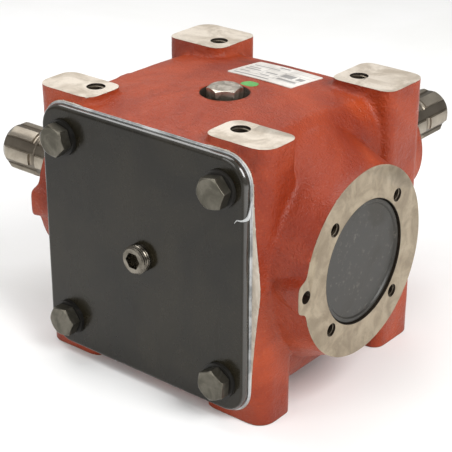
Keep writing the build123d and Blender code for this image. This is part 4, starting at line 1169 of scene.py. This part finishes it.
@dataclass
class FrontCover:
    """The black plate with its screws, washers, plug and the sealing compound round its edge."""

    face_y: float = -87.0 * MM
    centre_z: float = 91.5 * MM
    half: Pair = (82.5 * MM, 84.5 * MM)
    corner: float = 17.0 * MM
    corner_steps: int = 14
    pitch: float = 127.5 * MM
    washer: float = 2.5 * MM
    flats: float = 19.0 * MM
    head: float = 7.5 * MM
    head_steps: int = 96
    head_top: float = 0.955
    head_slope: float = 30.0
    corner_rise: float = 0.1547
    corner_wear: float = 0.15 * MM
    head_smooth: float = 25.0
    edge: float = 0.15 * MM
    edge_drop: float = 0.6
    turns: tuple[float, ...] = (6.0, 45.5, 26.0, 11.0)
    turn_start: float = 30.0
    bead: float = 0.7 * MM
    bead_mean: float = 0.8
    bead_least: float = 0.25 * MM
    bead_unevenness: float = 0.7
    bead_step: float = 1.6 * MM
    bead_seed: float = 4.0
    bead_smooth: float = 80.0
    bead_out: Pair = (0.25 * MM, 0.75 * MM)
    bead_wave: Pair = (34.0, 3.0)
    bead_sides: int = 10
    plug_thread: Thread = Thread(9.0 * MM, 1.5 * MM, 5.2 * MM)
    plug_mouth: Point = (0.0, -93.1 * MM, 91.5 * MM)
    drip_path: tuple[Point, ...] = (
        (83.6 * MM, -82.8 * MM, 152.0 * MM), (83.6 * MM, -84.0 * MM, 146.0 * MM),
        (83.0 * MM, -85.4 * MM, 141.6 * MM), (79.8 * MM, -86.9 * MM, 139.6 * MM),
        (76.4 * MM, -87.1 * MM, 139.0 * MM), (74.6 * MM, -87.1 * MM, 136.6 * MM))
    drip_sizes: tuple[float, ...] = (0.4 * MM, 0.8 * MM, 1.25 * MM, 0.55 * MM, 0.35 * MM, 0.1 * MM)
    drip_sides: int = 10
    drip_rows: int = 6
    drip_flat: float = 0.6
    drip_smooth: float = 70.0

    def head_shape(self) -> Piece:
        """Hexagon head with chamfered corners and a flat top, its seat on the XY plane."""
        flat, head, edge = self.flats / 2, self.head, self.edge
        top, tilt = flat * self.head_top, math.tan(math.radians(self.head_slope))
        angles = around(self.head_steps)
        sections = []
        for angle in angles:
            sector = (angle + math.pi / 6) % (math.pi / 3) - math.pi / 6
            reach = flat / math.cos(sector)
            reach = reach - self.corner_wear * (reach - flat) / (flat * self.corner_rise)
            shoulder = head - (reach - top) * tilt
            sections.append(((0.0, head), (top, head), (reach - edge, shoulder + self.edge_drop * edge),
                             (reach, shoulder - edge), (reach, 2 * edge), (reach - 2 * edge, 0.0),
                             (0.0, 0.0)))
        points = [Vector((radius * math.cos(angle), radius * math.sin(angle), height))
                  for ring in zip(*sections) for angle, (radius, height) in zip(angles, ring)]
        faces = bands(len(sections[0]) - 1, self.head_steps)
        return mesh_piece("screw_head_pattern", points, faces, self.head_smooth)

    def screws(self, material: Material) -> Piece:
        """The four screw heads, each turned as it was left."""
        pattern, half = self.head_shape(), self.pitch / 2
        places = [(u, self.face_y - self.washer, self.centre_z + w)
                  for u in (-half, half) for w in (-half, half)]
        upright = Matrix.Rotation(math.pi / 2, 3, "X")
        spins = [math.radians(turn + self.turn_start) for turn in self.turns]
        turns = [tuple((upright @ Matrix.Rotation(spin, 3, "Z")).to_euler()) for spin in spins]
        tree = Tree("screw_heads", (("Pattern", "NodeSocketObject", pattern), ("Scale", FLOAT, 1.0)))
        source = tree.kit.add("GeometryNodeObjectInfo", {"Object": tree.given["Pattern"]},
                              transform_space="ORIGINAL")
        heads = tree.turned(source.outputs["Geometry"], tree.given["Scale"])
        base = points_object("screw_points", places, turns)
        made = tree.run(heads, base, "cover_screw_heads", material, self.head_smooth)
        bpy.data.objects.remove(pattern)
        return made

    def outline(self) -> list[Point]:
        """Points just outside the cover's outline, in front of the machined face."""
        outward, forward = self.bead_out
        radius = self.corner + outward
        points = []
        for index, (u, w) in enumerate(((1, 1), (-1, 1), (-1, -1), (1, -1))):
            x, z = u * (self.half[0] - self.corner), w * (self.half[1] - self.corner)
            for step in range(self.corner_steps + 1):
                angle = math.pi / 2 * (index + step / self.corner_steps)
                points.append((x + radius * math.cos(angle), CASE.front - forward,
                               self.centre_z + z + radius * math.sin(angle)))
        return points

    def sealant(self, material: Material) -> Piece:
        """Bead of sealing compound squeezed out round the cover, thick and thin by turns."""
        points = self.outline()
        edges = [(index, (index + 1) % len(points)) for index in range(len(points))]
        base = stand("bead_path", plain_mesh("bead_path", points, edges))
        tree = Tree("sealant_bead", (("Bead Radius", FLOAT, self.bead),
                                     ("Unevenness", FLOAT, self.bead_unevenness),
                                     ("Step", FLOAT, self.bead_step), ("Seed", FLOAT, self.bead_seed)))
        kit, given = tree.kit, tree.given
        path = kit.add("GeometryNodeMeshToCurve", {0: given["Geometry"]})
        even = kit.add("GeometryNodeResampleCurve",
                       {"Curve": path.outputs[0], "Length": given["Step"]}, mode="LENGTH")
        scale, detail = self.bead_wave
        wave = kit.add("ShaderNodeTexNoise", {
            "Vector": kit.add("GeometryNodeInputPosition").outputs[0], "W": given["Seed"],
            "Scale": scale, "Detail": detail}, noise_dimensions="4D")
        swing = kit.times(kit.less(wave.outputs["Fac"], 0.5), given["Unevenness"])
        thick = kit.times(kit.plus(self.bead_mean, kit.times(swing, 2.0)), given["Bead Radius"])
        size = kit.add("GeometryNodeSetCurveRadius", {"Curve": even.outputs[0],
                                                      "Radius": kit.highest(thick, self.bead_least)})
        profile = kit.add("GeometryNodeCurvePrimitiveCircle",
                          {"Resolution": self.bead_sides, "Radius": 1.0})
        swept = kit.add("GeometryNodeCurveToMesh", {
            "Curve": size.outputs[0], "Profile Curve": profile.outputs[0],
            "Scale": kit.add("GeometryNodeInputRadius").outputs[0]})
        return tree.run(swept.outputs[0], base, "sealant_bead", material, self.bead_smooth)

    def drip(self, material: Material) -> Piece:
        """Thread of compound that was dragged from the bead onto the plate."""
        path, sizes, rows = [Vector(p) for p in self.drip_path], self.drip_sizes, self.drip_rows
        last = len(path) - 1
        sections = []
        for index in range(last):
            here, there = path[index], path[index + 1]
            before, after = path[max(index - 1, 0)], path[min(index + 2, last)]
            for row in range(rows):
                t = row / rows
                bent = (2 * here + (there - before) * t
                        + (2 * before - 5 * here + 4 * there - after) * t ** 2
                        + (3 * here - before - 3 * there + after) * t ** 3) / 2
                sections.append((bent, sizes[index] * (1 - t) + sizes[index + 1] * t))
        sections.append((path[-1], sizes[-1]))
        end = len(sections) - 1
        points = []
        for index, (spot, size) in enumerate(sections):
            ahead = sections[min(index + 1, end)][0] - sections[max(index - 1, 0)][0]
            side = ahead.cross(Vector((0.0, 1.0, 0.0))).normalized()
            out = side.cross(ahead).normalized()
            for angle in around(self.drip_sides):
                round_it = side * math.cos(angle) + out * math.sin(angle) * self.drip_flat
                points.append(spot + round_it * size)
        faces = bands(end, self.drip_sides)
        faces.append(tuple(range(self.drip_sides)))
        faces.append(tuple(range(len(points) - self.drip_sides, len(points))))
        made = mesh_piece("sealant_drip", points, faces, self.drip_smooth)
        dress(made, material)
        return made

    def build(self, finishes: Finishes) -> None:
        """Dresses the cover's nodes and adds the heads, the compound and the plug's thread."""
        finishes.wear({"front_cover": Finish.PLATE, "cover_washers": Finish.WASHER,
                       "cover_sealant": Finish.SEALANT, "level_plug": Finish.LEVEL_PLUG,
                       "level_plug_nut": Finish.LEVEL_PLUG})
        heads = self.screws(finishes.get(Finish.SCREW))
        bead = self.sealant(finishes.get(Finish.SEALANT))
        drip = self.drip(finishes.get(Finish.SEALANT))
        ridges = self.plug_thread.cut("level_plug_thread", [self.plug_mouth],
                                      [(math.pi / 2, 0.0, 0.0)], finishes.get(Finish.LEVEL_PLUG))
        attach(ridges, "gearcase")
        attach(drip, "gearcase")
        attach(heads, "gearcase")
        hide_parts("cover_bolts")
        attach(bead, "gearcase")
        LOG.info("front cover: plate, %s, %s, %s, %s", heads.name, bead.name, drip.name, ridges.name)


# ---------------------------------------------------------------- the rest

@dataclass
class TopFittings:
    """Filler plug, its washer and the foil label."""

    def build(self, finishes: Finishes) -> None:
        """Dresses the nodes on top of the housing."""
        finishes.wear({"filler_plug": Finish.PLUG, "filler_washer": Finish.THREAD,
                       "rating_plate": Finish.LABEL})
        LOG.info("top fittings: filler plug, washer and label")


@dataclass
class Drive:
    """Shafts, gears, bearings, seals and rings."""

    bearings: tuple[str, ...] = ("output_left", "output_right", "input_inner", "input_outer")
    clips: tuple[str, ...] = ("crown", "pinion", "input_shaft", "right_bearing", "left_bearing",
                              "input_bearing")

    def build(self, finishes: Finishes) -> None:
        """Dresses every node of the drive."""
        worn = {"output_shaft": Finish.OUTPUT, "input_shaft": Finish.INPUT, "crown_gear": Finish.GEAR,
                "bevel_pinion": Finish.GEAR, "crown_key": Finish.THREAD, "pinion_key": Finish.THREAD,
                "input_spacer": Finish.THREAD, "output_seal": Finish.RUBBER,
                "input_seal": Finish.RUBBER, "end_cap": Finish.CAP}
        worn.update({clip + "_clip": Finish.SPRING for clip in self.clips})
        for name in self.bearings:
            worn[name + "_cage"] = Finish.CAGE
            for part in ("_inner_ring", "_outer_ring", "_rollers"):
                worn[name + part] = Finish.BEARING
        finishes.wear(worn)
        LOG.info("drive: %d nodes dressed", len(worn))


@dataclass(frozen=True)
class Lamp:
    """A square soft lamp aimed at the gearbox."""

    name: str
    place: Point
    size: float
    power: float
    aim: Point = (0.0, 0.0, 0.09)

    def hang(self) -> None:
        """Puts the lamp into the scene."""
        data = bpy.data.lights.new(self.name, "AREA")
        data.shape, data.size, data.energy = "SQUARE", self.size, self.power
        holder = stand(self.name, data)
        holder.location = self.place
        holder.rotation_mode = "QUATERNION"
        aim = Vector(self.aim) - Vector(self.place)
        holder.rotation_quaternion = aim.to_track_quat("-Z", "Y")


@dataclass
class Studio:
    """Pale floor, white surround, soft lamps and the camera."""

    azimuth: float = 39.016
    elevation: float = 25.721
    roll: float = 0.147
    place: Point = (0.5330, -0.6604, 0.4786)
    lens: float = 112.13
    sensor: float = 36.0
    shift_y: float = 0.0350
    clip: Pair = (0.02, 20.0)
    floor_half: float = 4.0
    floor_z: float = -0.4 * MM
    floor_tone: Tone = Tone((0.86, 0.86, 0.85), (0.9, 0.9, 0.9), 3.0, 60.0, 0.02, (0.8, 0.8, 0.8))
    floor_rough: float = 0.9
    light: Colour = (1.0, 0.99, 0.975)
    light_strength: float = 0.42
    backdrop: Colour = (1.0, 1.0, 1.0)
    lamps: tuple[Lamp, ...] = (Lamp("top_softbox", (-0.50, 0.20, 1.20), 1.0, 9.6),
                               Lamp("right_softbox", (1.00, -0.15, 0.92), 0.7, 16.6),
                               Lamp("front_softbox", (-0.35, -1.3, 0.75), 0.9, 6.5))

    def camera(self) -> None:
        """Places the camera."""
        a, e, r = (math.radians(d) for d in (self.azimuth, self.elevation, self.roll))
        back = Vector((math.sin(a) * math.cos(e), -math.cos(a) * math.cos(e), math.sin(e)))
        right = Vector((math.cos(a), math.sin(a), 0.0))
        up = back.cross(right)
        right, up = right * math.cos(r) + up * math.sin(r), up * math.cos(r) - right * math.sin(r)
        data = bpy.data.cameras.new("camera")
        data.lens, data.sensor_width, data.shift_y = self.lens, self.sensor, self.shift_y
        data.clip_start, data.clip_end = self.clip
        holder = stand("camera", data)
        turn = Matrix((right, up, back)).transposed().to_4x4()
        holder.matrix_world = Matrix.Translation(self.place) @ turn
        bpy.context.scene.camera = holder

    def floor(self) -> None:
        """A wide pale floor that keeps the gearbox's shadow."""
        half, low = self.floor_half, self.floor_z
        rim = [(-half, -half, low), (half, -half, low), (half, half, low), (-half, half, low)]
        floor = stand("floor", plain_mesh("floor", rim, faces=[(0, 1, 2, 3)]))
        material, kit, shader = surface("pale_floor")
        kit.feed(shader, "Base Color", self.floor_tone.lay(kit, kit.place())[0])
        kit.feed(shader, "Roughness", self.floor_rough)
        dress(floor, material)

    def world(self) -> None:
        """White surround where the camera sees it, with a plain level of light for the rest."""
        world = bpy.data.worlds.new("studio")
        bpy.context.scene.world = world
        world.use_nodes = True
        world.node_tree.nodes.clear()
        kit = Kit(world.node_tree)
        seen = kit.add("ShaderNodeLightPath").outputs["Is Camera Ray"]
        plain, white = (kit.add("ShaderNodeBackground", {"Color": colour, "Strength": strength})
                        for colour, strength in ((self.light, self.light_strength),
                                                 (self.backdrop, 1.0)))
        mix = kit.add("ShaderNodeMixShader", {0: seen, 1: plain.outputs[0], 2: white.outputs[0]})
        kit.add("ShaderNodeOutputWorld", {0: mix.outputs[0]})

    def build(self) -> None:
        """Sets the whole studio."""
        self.camera()
        self.floor()
        self.world()
        for lamp in self.lamps:
            lamp.hang()
        bpy.context.scene.view_settings.view_transform = "Standard"


def main() -> None:
    """Builds every sub-assembly in order, then the studio."""
    logging.basicConfig(level=logging.INFO, format="%(message)s")
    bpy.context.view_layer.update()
    finishes = Finishes()
    for assembly in (Casting(), FrontCover(), TopFittings(), Drive()):
        assembly.build(finishes)
    Studio().build()


if __name__ == "__main__":
    main()
